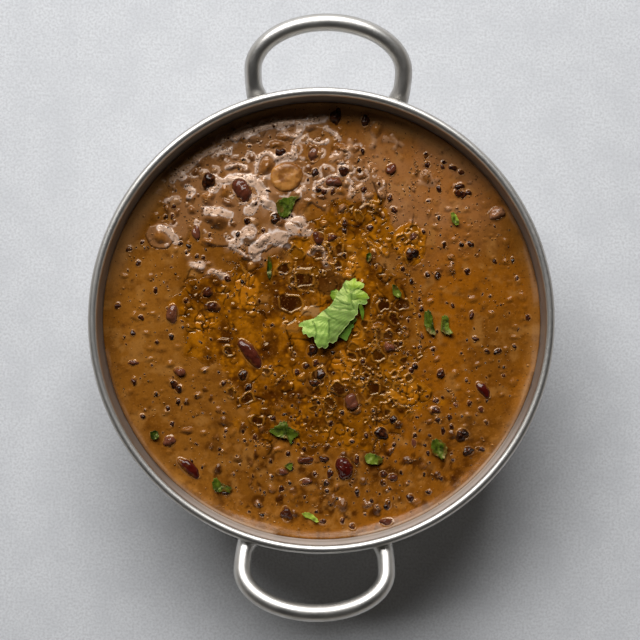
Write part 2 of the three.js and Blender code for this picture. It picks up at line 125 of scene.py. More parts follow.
def from_photo(px, py, height=DAL_LEVEL):
    """Millimetres in the row frame of a photograph pixel, seen at a height."""
    scale = pixel_at(height)
    return turn(AXIS_X + (px - PHOTO_MIDDLE) * scale, AXIS_Y + (PHOTO_MIDDLE - py) * scale,
                PHOTO_TURN)


def to_photo(x, y, height=DAL_LEVEL):
    """The photograph pixel of a place in the row frame."""
    scale = pixel_at(height)
    across, along = turn(x, y, -PHOTO_TURN)
    return PHOTO_MIDDLE + (across - AXIS_X) / scale, PHOTO_MIDDLE - (along - AXIS_Y) / scale


PIXEL_ON_DAL = pixel_at(DAL_LEVEL)


# ------------------------------------------------------------------ numbers and noise
def smoothstep(low, high, value):
    t = np.clip((value - low) / (high - low), 0, 1)
    return t * t * (3 - 2 * t)


NOISE_CELLS = 128


@functools.lru_cache(maxsize=None)
def noise_table(seed):
    return np.random.default_rng(seed).uniform(-1, 1, (NOISE_CELLS, NOISE_CELLS))


def noise(x, y, size, seed):
    """Smooth noise from -1 to 1, with features about size millimetres wide."""
    table = noise_table(seed)
    u, v = x / size + 40.5, y / size + 71.3
    i, j = np.floor(u).astype(int), np.floor(v).astype(int)
    f, g = u - i, v - j
    f, g = f * f * f * (f * (f * 6 - 15) + 10), g * g * g * (g * (g * 6 - 15) + 10)
    i, j, ahead, above = (k % NOISE_CELLS for k in (i, j, i + 1, j + 1))
    low = table[i, j] * (1 - f) + table[ahead, j] * f
    high = table[i, above] * (1 - f) + table[ahead, above] * f
    return low * (1 - g) + high * g


def fractal(x, y, size, seed, octaves=3):
    total = 0
    for k in range(octaves):
        a, b = turn(x, y, 0.9 * k)
        total = total + 0.5**k * noise(a, b, size * 0.5**k, seed + k)
    return total


def blob(x, y, spot, soft=0.35):
    """1 inside an ellipse (px, py, width, height) of the photograph, falling to 0 round it."""
    px, py, width, height = spot
    cx, cy = from_photo(px, py)
    across = (x - cx) / (0.5 * width * PIXEL_ON_DAL)
    along = (y - cy) / (0.5 * height * PIXEL_ON_DAL)
    return smoothstep(1 + soft, 1 - soft, np.hypot(across, along))


def linear(red, green, blue):
    """A colour as the photograph shows it, 0 to 255, in linear light."""
    return tuple(
        c / 12.92 if c <= 0.04045 else ((c + 0.055) / 1.055) ** 2.4
        for c in (red / 255, green / 255, blue / 255)
    )


def blend(low, high, share):
    share = np.clip(share, 0, 1)[:, None]
    return np.asarray(low) * (1 - share) + np.asarray(high) * share


# ------------------------------------------------------------------ meshes
def build(name, points, faces, material, attributes=None):
    """A piece that rides on the pan. points are millimetres, and attributes one value a point."""
    mesh = bpy.data.meshes.new(name)
    mesh.from_pydata((np.asarray(points) * MM).tolist(), [], [list(f) for f in faces])
    mesh.update()
    for key, values in (attributes or {}).items():
        values = np.asarray(values, dtype=float)
        if values.ndim == 1:
            layer = mesh.attributes.new(key, "FLOAT", "POINT")
            layer.data.foreach_set("value", values)
        else:
            layer = mesh.attributes.new(key, "FLOAT_COLOR", "POINT")
            colours = np.concatenate([values, np.ones((len(values), 1))], axis=1)
            layer.data.foreach_set("color", colours.ravel())
    mesh.polygons.foreach_set("use_smooth", [True] * len(mesh.polygons))
    mesh.materials.append(material)
    piece = bpy.data.objects.new(name, mesh)
    bpy.context.scene.collection.objects.link(piece)
    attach(piece, "root")
    return piece


def lathe(profile, sides):
    """Points and faces of a profile of (radius, height) turned about +Z, first and last on it."""
    ring = profile[1:-1]
    angles = np.linspace(0, 2 * np.pi, sides, endpoint=False)
    points = [(0, 0, profile[0][1]), (0, 0, profile[-1][1])]
    for radius, height in ring:
        points += [(radius * math.cos(a), radius * math.sin(a), height) for a in angles]
    faces = []
    for k in range(sides):
        n = (k + 1) % sides
        faces.append((0, 2 + n, 2 + k))
        for r in range(len(ring) - 1):
            low, high = 2 + r * sides, 2 + (r + 1) * sides
            faces.append((low + k, low + n, high + n, high + k))
        top = 2 + (len(ring) - 1) * sides
        faces.append((1, top + k, top + n))
    return points, faces


def sphere(columns, rows):
    """Points and faces of a unit ball with its poles on Z."""
    points = [(0, 0, -1)]
    for r in range(1, rows):
        up = -math.pi / 2 + math.pi * r / rows
        for k in range(columns):
            a = 2 * math.pi * k / columns
            points.append((math.cos(up) * math.cos(a), math.cos(up) * math.sin(a), math.sin(up)))
    points.append((0, 0, 1))
    faces = []
    for k in range(columns):
        n = (k + 1) % columns
        faces.append((0, 1 + n, 1 + k))
        for r in range(rows - 2):
            low = 1 + r * columns
            faces.append((low + k, low + n, low + columns + n, low + columns + k))
        top = 1 + (rows - 2) * columns
        faces.append((top + k, top + n, len(points) - 1))
    return np.array(points), faces


def gather(parts):
    """One list of points and faces from several."""
    points, faces, start = [], [], 0
    for part_points, part_faces in parts:
        points.append(part_points)
        faces += [tuple(start + i for i in f) for f in part_faces]
        start += len(part_points)
    return np.concatenate(points), faces


# ------------------------------------------------------------------ material nodes
def material(name, colour):
    made = bpy.data.materials.new(name)
    made.use_nodes = True
    made.diffuse_color = (*colour, 1)
    shader = made.node_tree.nodes["Principled BSDF"]
    shader.inputs["Base Color"].default_value = (*colour, 1)
    return made, shader


def set_inputs(tree, made, inputs):
    """Sets a node's inputs, where each is a number, a colour or another node's output."""
    for key, value in inputs.items():
        socket = made.inputs[key]
        if isinstance(value, bpy.types.NodeSocket):
            tree.links.new(value, socket)
        elif isinstance(value, tuple) and len(value) == 3 and socket.type == "RGBA":
            socket.default_value = (*value, 1)
        else:
            socket.default_value = value


def node(tree, kind, inputs=None, **settings):
    made = tree.nodes.new("ShaderNode" + kind)
    for key, value in settings.items():
        setattr(made, key, value)
    set_inputs(tree, made, inputs or {})
    return made


def mix(tree, factor, low, high):
    return node(tree, "Mix", {0: factor, 6: low, 7: high}, data_type="RGBA").outputs[2]


def maths(tree, operation, *values):
    return node(tree, "Math", dict(enumerate(values)), operation=operation).outputs[0]


def span(tree, value, low, high, out_low=0.0, out_high=1.0):
    """value from low..high to out_low..out_high, held at both ends and smoothed between."""
    inputs = {"Value": value, "From Min": low, "From Max": high, "To Min": out_low,
              "To Max": out_high}
    return node(tree, "MapRange", inputs, interpolation_type="SMOOTHSTEP").outputs["Result"]


def place(tree):
    """Where a point is in the row frame, in millimetres."""
    coordinates = node(tree, "TexCoord").outputs["Object"]
    return node(tree, "VectorMath", {0: coordinates, 3: 1000.0}, operation="SCALE").outputs[0]


def grain(tree, vector, size, detail=2.0, distortion=0.0):
    """Noise of about 0 to 1 with features about size millimetres wide."""
    inputs = {"Vector": vector, "Scale": 1 / size, "Detail": detail, "Distortion": distortion}
    return node(tree, "TexNoise", inputs).outputs["Fac"]


def attribute(tree, name):
    return node(tree, "Attribute", attribute_name=name)


def bump(tree, height, distance, normal=None):
    inputs = {"Height": height, "Strength": 1.0, "Distance": distance * MM}
    if normal:
        inputs["Normal"] = normal
    return node(tree, "Bump", inputs).outputs["Normal"]


# ------------------------------------------------------------------ steel
def steel_material(name, lines_from_axis, rough_low, rough_high):
    """Satin stainless steel with fine lines and rubbed patches."""
    base, shader = material(name, linear(196, 194, 190))
    tree = base.node_tree
    where = place(tree)
    if lines_from_axis:
        parts = node(tree, "SeparateXYZ", {0: where}).outputs
        squares = [maths(tree, "MULTIPLY", part, part) for part in parts[:2]]
        radius = maths(tree, "SQRT", maths(tree, "ADD", *squares))
        drift = maths(tree, "MULTIPLY", parts[0], 0.02)
        along = node(tree, "CombineXYZ", {0: radius, 1: parts[2], 2: drift}).outputs[0]
    else:
        along = node(tree, "VectorMath", {0: where, 1: (0.12, 0.12, 1.0)},
                     operation="MULTIPLY").outputs[0]
    lines = grain(tree, along, 0.35, 3.0)
    patches = grain(tree, where, 14.0, 4.0, 0.6)
    fine = grain(tree, where, 0.9, 2.0)
    metal = mix(tree, span(tree, patches, 0.35, 0.75), linear(204, 202, 198),
                linear(185, 182, 177))
    rough = maths(tree, "ADD", span(tree, patches, 0.3, 0.8, rough_low, rough_high),
                  span(tree, fine, 0.4, 0.8, 0.0, 0.08))
    if lines_from_axis:
        # Sauce smeared low on the inside wall, in the colour of the film attribute, which holds
        # painted light and shade.
        low = span(tree, maths(tree, "ADD", parts[2], span(tree, patches, 0.3, 0.7, -2.5, 1.5)),
                   DAL_LEVEL + 3.4, DAL_LEVEL + 1.2)
        inside = attribute(tree, "inside").outputs["Fac"]
        smear = maths(tree, "MULTIPLY", span(tree, low, 0.0, 1.0, 0.7, 1.0), inside)
        metal = mix(tree, smear, metal, attribute(tree, "film").outputs["Color"])
        metallic = maths(tree, "SUBTRACT", 1.0, smear)
    else:
        metallic = 1.0
    set_inputs(tree, shader, {
        "Metallic": metallic, "Base Color": metal, "Roughness": rough,
        "Normal": bump(tree, lines, 0.012, bump(tree, fine, 0.02))})
    return base


def wall_radius(top_radius, depth):
    """The wall's radius at a share of its height down from the top."""
    return BASE_RADIUS + (top_radius - BASE_RADIUS) * np.sqrt(1 - depth**2)


def wall_point(top_radius, bottom, share):
    angle = share * math.pi / 2
    return (
        BASE_RADIUS + (top_radius - BASE_RADIUS) * math.sin(angle),
        bottom + (WALL_TOP - bottom) * (1 - math.cos(angle)),
    )


def make_pan(steel):
    outside = [wall_point(INNER_RIM_RADIUS + WALL, 0, 0.98 * k / WALL_STEPS)
               for k in range(WALL_STEPS + 1)]
    inside = [wall_point(INNER_RIM_RADIUS, WALL, k / WALL_STEPS)
              for k in range(WALL_STEPS + 1)][::-1]
    bead = []
    for degrees in np.linspace(-112, 180, 30)[:-1]:
        a = math.radians(degrees)
        bead.append((RIM_RADIUS - BEAD_RADIUS + BEAD_RADIUS * math.cos(a),
                     WALL_TOP + BEAD_RADIUS * math.sin(a)))
    profile = [(0, 0), (BASE_RADIUS - 0.5, 0), *outside, *bead, *inside, (0, WALL)]
    points, faces = lathe(profile, PAN_SIDES)
    wall_starts = 2 + PAN_SIDES * (len(profile) - 2 - len(inside))
    inner = np.arange(len(points)) >= wall_starts
    inner[1] = True
    x, y, z = np.array(points).T
    # The sauce smeared on the inside wall, with painted light and shade in its colour: near white
    # high up where the window lights the wall, tan just above the sauce there, and dark brown where
    # the wall is in shade.
    facing = lit_side(x, y)
    upper = smoothstep(DAL_LEVEL + 5.5, DAL_LEVEL + 10, z)
    near = smoothstep(DAL_LEVEL + 3.8, DAL_LEVEL + 1.8, z)
    shaded = blend(linear(58, 34, 10), linear(70, 50, 30), upper)
    bright = blend(linear(162, 150, 138), linear(246, 244, 242), upper)
    bright += near[:, None] * (np.array(linear(206, 188, 172)) - bright)
    smear_with_painted_light = shaded + facing[:, None] * (bright - shaded)
    piece = build("pan_skin", points, faces, steel,
                  {"inside": inner * (0.85 - 0.2 * facing * upper), "film": smear_with_painted_light})
    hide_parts("pan")


def make_handle(name, steel):
    """The wire loop, with a spread foot whose weld runs out onto the wall."""
    half_width, loop_depth, tilt_degrees, spin = HANDLES[name]
    tilt = math.radians(tilt_degrees)
    centre = LOOP_CENTRE / math.cos(tilt)
    start = math.asin((centre + LEG_SUNK) / LEG_DEPTH)
    weld_y, weld_z = HANDLE_WELD
    steps, sides = WIRE_STEPS, WIRE_SIDES
    points = []

    def flat(share):
        angle = -start + share * (math.pi + 2 * start)
        depth = loop_depth - LOOP_INSET if math.sin(angle) > 0 else LEG_DEPTH
        return half_width * math.cos(angle), centre + depth * math.sin(angle)

    for i in range(steps + 1):
        share = i / steps
        across, along = flat(share)
        ahead = flat(min(1, share + 1e-3))
        behind = flat(max(0, share - 1e-3))
        dx, dy = ahead[0] - behind[0], ahead[1] - behind[1]
        size = math.hypot(dx, dy)
        dx, dy = dx / size, dy / size
        foot = 1 - float(smoothstep(1, 11, along))
        flare = math.exp(-max(0, along) / 1.1)
        half_across = WIRE_RADIUS * (1 + 0.3 * foot + 0.12 * flare)
        half_up = WIRE_RADIUS * (1 - 0.18 * foot + 0.12 * flare)
        inward = -math.copysign(WIRE_RADIUS * 0.26 * foot, across)
        for k in range(sides):
            a = 2 * math.pi * k / sides
            side = half_across * math.cos(a)
            x = across + inward + dy * side
            out = along - dx * side
            up = half_up * math.sin(a)
            y = weld_y + out * math.cos(tilt) - up * math.sin(tilt)
            z = weld_z + out * math.sin(tilt) + up * math.cos(tilt)
            below = min(1, max(0, (WALL_TOP - z) / WALL_TOP))
            wall = wall_radius(INNER_RIM_RADIUS + WALL, below)
            push = max(1, (wall + 0.02) / math.hypot(x, y)) if z > 40 else 1
            points.append((*turn(x * push, y * push, spin), z))
    faces = []
    for i in range(steps):
        for k in range(sides):
            a, b = i * sides + k, i * sides + (k + 1) % sides
            faces.append((a, a + sides, b + sides, b))
    faces.append(tuple(range(sides)))
    faces.append(tuple(steps * sides + k for k in reversed(range(sides))))
    piece = build(name + "_wire", points, faces, steel)
    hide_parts(name)


# ------------------------------------------------------------------ the dal's surface
DAL_RADIUS = float(wall_radius(
    INNER_RIM_RADIUS, (WALL_TOP - DAL_LEVEL - MENISCUS) / (WALL_TOP - WALL))) - FIT_GAP
SAUCE_RADIUS = DAL_RADIUS + FIT_GAP - SAUCE_GAP

# Domes of bean and gram under the sauce: px, py, length, width, angle, and how amber each is.
LUMPS = [
    (216, 218, 27, 21, -10, 0.2), (209, 198, 18, 14, 90, 0.6), (191, 199, 11, 9, 0, 0.7),
    (225, 191, 14, 8, 90, 0.7), (160, 236, 16, 14, -30, 0.8), (207, 243, 14, 10, 0, 0.6),
    (267, 167, 18, 16, 0, 0.5), (199, 268, 13, 9, 0, 0.1), (248, 238, 20, 14, 0, 0.0),
    (262, 241, 22, 10, 20, 0.0), (338, 389, 18, 12, 0, 0.3), (377.5, 128, 19, 13, 80, 0.9),
    (339, 147, 12, 10, 0, 0.6), (427, 179, 14, 11, 90, 0.3), (383, 251, 12, 8, 90, 0.4),
    (451, 258, 8, 7, 0, 0.5), (451, 269, 14, 8, 90, 0.4), (416, 172, 9, 5, 90, 0.3),
    (292, 491, 9, 6, 0, 0.2), (279, 449, 10, 9, 0, 0.9), (340, 191, 10, 9, 0, 0.8),
    (325, 224, 8, 8, 0, 0.9), (303, 208, 14, 10, 80, 0.5), (299, 223, 15, 11, -20, 0.5),
    (233, 167, 14, 9, 10, 0.1), (245, 172, 12, 8, 0, 0.1), (367, 504, 12, 9, 0, 0.2),
    (342, 505, 16, 12, 80, 0.2), (332, 500, 12, 10, 60, 0.2), (251, 139, 16, 10, 10, 0.3),
    (236, 139, 12, 9, 0, 0.3), (287, 137, 22, 10, 5, 0.6), (199, 163, 12, 10, 30, 0.4),
    (310, 128, 12, 10, 0, 0.2), (277, 145, 14, 9, 0, 0.5), (200, 145, 10, 8, 0, 0.3),
    (222, 156, 12, 8, 30, 0.2), (311, 148, 10, 8, 0, 0.2), (424, 466, 9, 7, 0, 0.4),
    (167, 210, 9, 7, 80, 0.3), (178, 213, 10, 6, 80, 0.3), (192, 210, 9, 8, 60, 0.4),
    (246, 257, 9, 8, 0, 0.0), (224, 340, 14, 6, 10, 0.2), (372, 257, 10, 14, 0, 0.0),
]
# Gram that stands out: px, py, length, width, angle.
DARK_GRAM = [
    (208.6, 181.4, 15, 13, 60), (335.5, 117, 15, 12, 90), (280.7, 152.3, 11, 9, 0),
    (275, 219, 11, 10, 90), (206.8, 293, 11, 10, 30), (212.5, 307, 16, 11, 0),
    (365, 121.6, 12, 8, 90), (343.4, 171.6, 12, 9, -40), (411.6, 253.4, 12, 11, 0),
    (457, 193, 7, 7, 0), (463, 195, 8, 7, 0), (468.5, 193, 6, 6, 0), (460.5, 186.4, 10, 6, 0),
    (435.5, 410.5, 10, 9, 0), (441, 373.6, 9, 8, 90), (462.7, 434.3, 13, 12, 0),
    (380.9, 433, 14, 11, 0), (286.4, 513.9, 16, 10, -80), (387.7, 504.8, 10, 7, 80),
    (173.9, 384.3, 9, 7, -30), (178.4, 388.9, 8, 8, 0), (320.5, 374, 12, 10, 90),
    (243, 375, 10, 10, 0), (383.2, 474, 8, 6, 0), (383.2, 483, 7, 6, 0), (410.5, 498, 8, 8, 0),
    (226, 492.7, 7, 6, 0), (393.4, 419.5, 8, 8, 0), (437.7, 420, 6, 6, 0), (415, 366, 7, 6, 50),
    (411, 371, 7, 6, 50), (357, 492.3, 8, 5, 100), (329.8, 474, 10, 5, 80),
    (326.4, 483, 6, 6, 0), (449, 417.3, 6, 6, 0), (415, 435.5, 5, 5, 0), (475, 338.9, 6, 5, 0),
    (498, 351.4, 8, 5, 20), (393.4, 210, 7, 7, 0), (363.4, 189.8, 6, 6, 0), (324, 192, 6, 6, 0),
    (333, 192, 6, 6, 0), (318.4, 189.8, 6, 6, 0), (427.5, 164.8, 7, 6, 0),
    (426.4, 155.7, 6, 6, 0), (444.5, 162.5, 6, 4, 0), (442.3, 167, 5, 5, 0),
    (453.6, 168.2, 9, 5, 0), (461.6, 172.7, 7, 6, 0), (427.5, 275, 6, 6, 0),
    (437.7, 275, 7, 6, 90), (411.6, 281, 6, 6, 0), (402.5, 269.3, 5, 5, 0),
    (444.5, 244.8, 6, 6, 0), (461.6, 244.8, 5, 5, 0), (470.7, 244.3, 7, 6, 0),
    (344.5, 223, 8, 6, 80), (344.5, 231, 8, 5, 100), (344.5, 255.7, 5, 5, 0),
    (369.5, 228, 8, 6, 30), (438.9, 218, 5, 5, 0), (438.9, 189.8, 8, 5, 100),
    (390, 197.7, 7, 6, 90), (359.3, 170.5, 6, 5, 0), (362.7, 151, 5, 5, 0),
    (315.5, 172.7, 8, 8, 0), (468.4, 450.7, 11, 9, 0), (480, 449, 10, 5, 0),
    (436.6, 400.9, 7, 5, 0), (443, 431.4, 8, 4, 80), (469.5, 403, 5, 5, 0),
    (528, 317.7, 6, 6, 0), (517, 278.4, 5, 5, 0), (471.8, 314.8, 8, 5, 80),
    (452.5, 305.7, 5, 5, 0), (419.5, 300, 6, 3.5, 90), (421.8, 309, 6, 4, 90),
    (421.8, 335.5, 6, 3.5, 90), (420.2, 346.8, 5, 4, 0), (494.5, 261.4, 5, 5, 0),
    (512.7, 260, 7, 4, 90), (467.3, 271.6, 7, 6, 0), (138.6, 263.6, 6, 6, 0),
    (155.7, 291, 7, 5, 90), (118, 305.7, 6, 6, 0), (186, 301, 6, 6, 0), (141, 317.5, 6, 5, 0),
    (166, 217, 5, 5, 0), (172.7, 216, 5, 5, 0), (180.7, 243.6, 5, 5, 0), (189, 246.6, 6, 6, 0),
    (227, 278.4, 6, 5, 0), (203.4, 258, 5, 5, 0), (247.7, 221.6, 8, 7, 0), (263.6, 230.7, 5, 5, 0),
    (171.6, 336.6, 6, 5, 0), (133, 333, 6, 5, 90), (156.8, 342.3, 4, 4, 0),
    (134, 381, 7, 5, 90), (156, 394.5, 5, 5, 0), (178.4, 402, 6, 5, 90), (167.7, 409, 6, 5, 60),
    (172.3, 424, 5, 5, 0), (142.5, 416.6, 5, 5, 0), (248.9, 387.7, 8, 8, 0),
    (272.7, 418.4, 6, 5, 0), (243.2, 432, 6, 4, 90), (255, 437, 6, 5, 80), (281.8, 488.9, 7, 6, 0),
    (262.5, 515, 5, 5, 0), (314.8, 383, 12, 6, 0), (330.9, 423.6, 6, 5, 0), (342.3, 413, 5, 5, 0),
    (362.7, 361.6, 5, 5, 0), (362.7, 378.6, 5, 5, 0), (357, 459.3, 10, 6, 95),
    (389.3, 488.9, 4, 4, 0), (428.2, 492.3, 5, 4, 0), (323, 521.8, 8, 5, 0),
    (342.3, 520.7, 5, 5, 0), (352.5, 526.4, 8, 7, 0), (324, 459, 8, 7, 0), (129.5, 248.9, 7, 6, 0),
    (312, 351, 14, 12, 70), (305.5, 366, 7, 6, 0), (297, 372, 6, 5, 0), (316, 363, 7, 6, 0),
]
MAUVE_GRAM = [
    (196.6, 233, 17, 8, 100), (318.4, 237.5, 14, 12, 0), (332, 237.5, 9, 8, 0),
    (334.3, 181.8, 14, 12, 0), (388.9, 346.8, 10, 9, -60), (351.4, 403.6, 18, 14, 70),
    (305.7, 460.5, 16, 9, -10), (281.8, 471.8, 12, 7, 0), (392.3, 477.5, 9, 8, 0),
    (391, 170, 12, 10, 90), (169.3, 441, 11, 10, 0), (179.5, 371.8, 12, 9, -35),
    (413.9, 443.4, 8, 5, 90), (386.6, 521.8, 12, 7, 5), (414, 236, 9, 7, 30),
    (455.9, 404.8, 5, 5, 0), (481, 409.3, 6, 5, 0), (133, 362.7, 9, 5, 0), (305, 482, 13, 7, 10),
]
# Amber pools of ghee, and the golden brown area of the middle and left: px, py, width, height.
GHEE = [
    (322, 300, 170, 120), (255, 330, 150, 110), (330, 400, 190, 90), (205, 322, 60, 50),
    (410, 242, 30, 40), (355, 230, 70, 70), (408, 391, 44, 36), (375, 350, 90, 80),
    (290, 420, 120, 60), (255, 285, 50, 60), (380, 305, 60, 50), (325, 230, 40, 40),
]
# Where lumps stand thick under a thin glossy film: px, py, width, height.
THICK = [(238, 190, 150, 125), (285, 140, 120, 44), (226, 152, 70, 50), (345, 185, 70, 80),
         (252, 235, 50, 40), (160, 236, 26, 24)]
# Where the ghee's pools have golden rims: px, py, width, height.
RIMMED = [(385, 365, 80, 130), (312, 255, 80, 64), (330, 400, 70, 60), (408, 240, 40, 44),
          (240, 185, 160, 140), (285, 130, 120, 50), (345, 180, 80, 80)]
# Deep pools of ghee, dark as nothing pale lies under them: px, py, width, height.
DEEP = [(306, 276, 44, 30), (284, 300, 26, 30), (386, 318, 26, 40), (262, 355, 20, 16),
        (328, 372, 22, 16), (240, 384, 30, 16), (268, 398, 34, 14), (300, 396, 24, 16),
        (350, 392, 26, 18), (318, 424, 40, 14), (380, 388, 16, 18), (266, 312, 14, 24),
        (222, 340, 20, 14), (356, 226, 26, 20), (372, 268, 14, 22), (290, 352, 16, 12)]
# Golden patches with dark curls: px, py, width, height.
SWIRLS = [(404, 391, 30, 30), (410, 240, 30, 36), (247, 290, 26, 30), (204, 322, 24, 24),
          (345, 362, 26, 24), (300, 420, 20, 12)]
# Pools with a raised rim, and how bright their ghee is from -1 to 1: px, py, width, height, tone.
POOLS = [
    (402.5, 238.5, 11, 10, 0.3), (414, 229, 8, 10, 0.4), (384, 251, 8, 9, 0.8),
    (402.5, 304.5, 14, 12, -0.6), (378.5, 334, 6, 14, -0.8), (378, 356, 14, 11, -0.8),
    (363, 361, 6, 6, -0.6), (367, 376, 8, 7, -0.4), (319, 376, 16, 16, -0.8),
    (338.5, 388.5, 17, 12, -0.7), (356, 374, 10, 8, 0.3),
    (284, 268, 12, 12, -0.8), (297, 253, 14, 12, 0.1), (317, 254, 14, 12, -0.7),
    (329, 248, 8, 10, -0.4), (301, 280, 24, 15, -0.5), (290, 303, 22, 21, -0.5),
    (383, 306, 13, 12, -0.3), (394, 318, 12, 11, -0.5), (388, 335, 12, 10, -0.6),
    (398, 345, 10, 9, -0.4), (373, 388, 15, 12, -0.5),
    (329.8, 404.8, 13, 15, -0.3), (228, 351, 9, 9, -0.3), (410, 414, 7, 7, 0.2),
    (420, 356, 5, 5, 0.4), (345, 376, 9, 9, 0.9), (248, 398, 14, 12, -0.4),
    (266, 372, 9, 8, -0.6), (231, 392, 9, 9, -0.5), (257, 420, 12, 10, -0.2),
    (352, 357, 9, 9, -0.2), (395, 375, 8, 8, -0.5), (393, 402, 9, 8, -0.4),
    (252, 300, 9, 9, 0.7),
]
# Threads of raised sauce across the ghee, each through places in the photograph.
THREADS = [
    [(377, 294), (371, 306), (371.5, 320), (375.7, 334), (378.6, 346), (381, 352)],
    [(291, 286), (304, 291), (313, 292.5), (323, 299)],
    [(295, 262), (294, 274), (297, 286)], [(270, 279), (278, 266), (290, 262)],
    [(311, 248), (322, 243), (330, 252), (327, 262), (342, 270)],
    [(321.4, 367), (330, 380), (328.6, 391), (335.7, 404), (330, 411)],
    [(308.6, 401), (317, 397), (324, 401), (333, 410)],
    [(349, 381), (352, 370), (345, 364), (340, 352)], [(361, 375), (366, 383), (362, 392)],
    [(366, 349), (371, 345), (378, 346)], [(363, 366), (370, 369), (377, 376), (384, 376)],
    [(395, 381), (400, 371), (405, 367)], [(388, 392), (396, 403), (408, 406), (412, 412)],
    [(275, 385), (281, 378), (288, 371)], [(226, 380), (232, 384), (236, 392)],
    [(341, 222), (345, 236), (343, 250)], [(352, 287), (351, 268), (355, 257)],
    [(363, 236), (371, 244), (378, 250)], [(240, 262), (246, 278), (236, 292), (230, 297)],
    [(411, 297), (414, 310), (417, 330), (419, 346)],
]
# Strings of small bubbles, each through places in the photograph.
STRINGS = [
    [(389, 160), (390, 178), (391, 200)], [(425, 158), (428, 168), (428, 180)],
    [(449, 256), (452, 268), (454, 280)], [(400, 268), (409, 276), (414, 286)],
    [(369, 200), (373, 208), (372, 218)], [(352, 196), (360, 190), (368, 178)],
    [(420, 290), (422, 305), (421, 320), (420, 346)], [(393, 208), (394, 214), (397, 220)],
    [(415, 160), (416, 166), (418, 173)], [(434, 396), (437, 404), (438, 414), (436, 422)],
    [(379, 428), (380, 436), (377, 444)], [(357, 455), (356, 464), (355, 475)],
    [(212, 190), (206, 200), (202, 210)], [(228, 262), (238, 266), (230, 276)],
    [(250, 440), (262, 444), (270, 446)], [(446, 388), (452, 392), (456, 400)],
    [(350, 175), (354, 184), (358, 192)], [(372, 416), (380, 420), (390, 418)],
    [(395, 346), (402, 352), (410, 352)], [(300, 440), (312, 446), (322, 444)],
]
# Streams of pale sauce between the lumps, partly a painted sheen: width in pixels, then places in
# the photograph.
STREAMS = [
    (7, [(220, 139), (241, 133.6), (264, 126), (286, 121), (307, 121), (323, 117)]),
    (6, [(300, 128), (297, 142), (294, 155), (287, 158), (276, 159)]),
    (6, [(218.6, 148), (207, 153.6), (196, 161), (184, 171), (174, 175)]),
    (7, [(173, 179), (178, 177), (184, 178)]), (6, [(219, 152), (225, 152), (231, 151)]),
    (6, [(217, 179), (224, 181), (238.6, 178), (250, 181)]),
    (9, [(250, 181), (258.6, 186), (263, 195), (255.7, 208), (250, 211)]),
    (3, [(256, 172), (258.6, 158), (268.6, 154), (277, 162), (273, 173.6), (264, 178)]),
    (6, [(264, 201), (274, 208), (281, 216), (298.6, 219), (304, 224)]),
    (7, [(207, 212), (217, 211), (230, 216)]), (10, [(234, 243.6), (243, 235), (253, 232)]),
    (11, [(254, 253.6), (264, 242), (276, 238), (284, 239)]),
    (5, [(161, 228), (170, 232), (175.7, 242)]), (6, [(193, 264), (203, 264)]),
    (4, [(210, 272), (218.6, 273.6), (227, 278)]), (4, [(326, 128), (336, 135), (340, 138)]),
    (4, [(315.7, 189), (320, 183.6), (328.6, 176.4), (337, 175)]),
    (4, [(338.6, 175), (340, 165), (347, 169)]),
    (4, [(310, 253.6), (315.7, 248), (323, 250.7), (325.7, 263.6)]),
    (4, [(232, 247), (240, 251), (246, 256)]), (4, [(187, 187), (192, 190), (190, 197)]),
    (3, [(283, 131), (290, 136), (300, 133)]), (4, [(206, 186), (214, 190), (219, 186)]),
    (5, [(289, 226), (297, 231), (310, 232)]), (4, [(311, 140), (319, 144), (326, 142)]),
    (8, [(236, 137), (252, 131), (270, 125), (290, 122)]),
    (4, [(228, 168), (238, 164), (246, 168)]),
]
# Fainter streams at the upper right, a painted sheen with some pale sauce: width in pixels, then
# places in the photograph.
FAINT_STREAMS = [
    (5, [(333, 160), (341, 153), (349, 148), (352, 142)]),
    (3, [(346, 182), (352, 173), (350, 165)]), (4, [(337, 146), (345, 149), (352, 156)]),
    (3, [(372, 132), (375, 140), (371, 147)]), (3, [(385, 139), (394, 141), (403, 145)]),
    (3, [(393, 136), (397, 142), (396, 148)]), (3, [(349, 197), (354, 190), (362, 186)]),
    (3, [(422, 176), (428, 173), (432, 180)]), (3, [(361, 209), (367, 205), (374, 206)]),
    (3, [(420, 182), (427, 186), (433, 183)]),
]
# Thin flakes of skin and flat lumps under the ghee: places round each, tone and height.
FLAKES = [
    ([(280, 328), (290, 321), (301, 322), (300, 328), (290, 332)], (150, 96, 34), 0.5),
    ([(300, 312), (308, 307), (319, 308), (320, 313), (310, 315)], (160, 116, 66), 0.7),
    ([(347, 279), (349, 268), (354, 256), (358, 262), (355, 274)], (176, 108, 22), 0.7),
    ([(290, 272), (305, 268), (318, 276), (312, 288), (298, 287)], (92, 56, 18), 0.4),
    ([(320, 272), (338, 272), (346, 284), (334, 296), (318, 290)], (84, 50, 15), 0.3),
    ([(274, 296), (288, 294), (298, 302), (288, 312), (274, 308)], (90, 52, 15), 0.3),
]
STEP = 0.25  # of the raster that the surface is worked out on
REACH = 102.0
RASTER_LINE = np.arange(-REACH, REACH, STEP)
# The streams' pale colour is partly pale sauce and partly a painted sheen. GLINT is a painted
# highlight along their borders.
PALE_SAUCE_AND_SHEEN = linear(206, 174, 150)
GLINT = linear(246, 232, 224)
TAN = linear(172, 114, 36)
SHADOW = linear(34, 10, 1)  # of a pool's rim


def zone(x, y, spots, ragged, low, high):
    """0 outside and 1 inside some ellipses of the photograph, with an uneven edge."""
    mask = np.zeros_like(x)
    for spot in spots:
        mask = np.maximum(mask, blob(x, y, spot, 0.45))
    near = np.clip(4 * mask, 0, 1)
    return smoothstep(low, high, mask + near * ragged * fractal(x, y, 11, 31, 4))


def thick_zone(x, y):
    return zone(x, y, THICK, 0.35, 0.2, 0.75)


def ghee_zone(x, y):
    return zone(x, y, GHEE, 0.55, 0.3, 0.72)


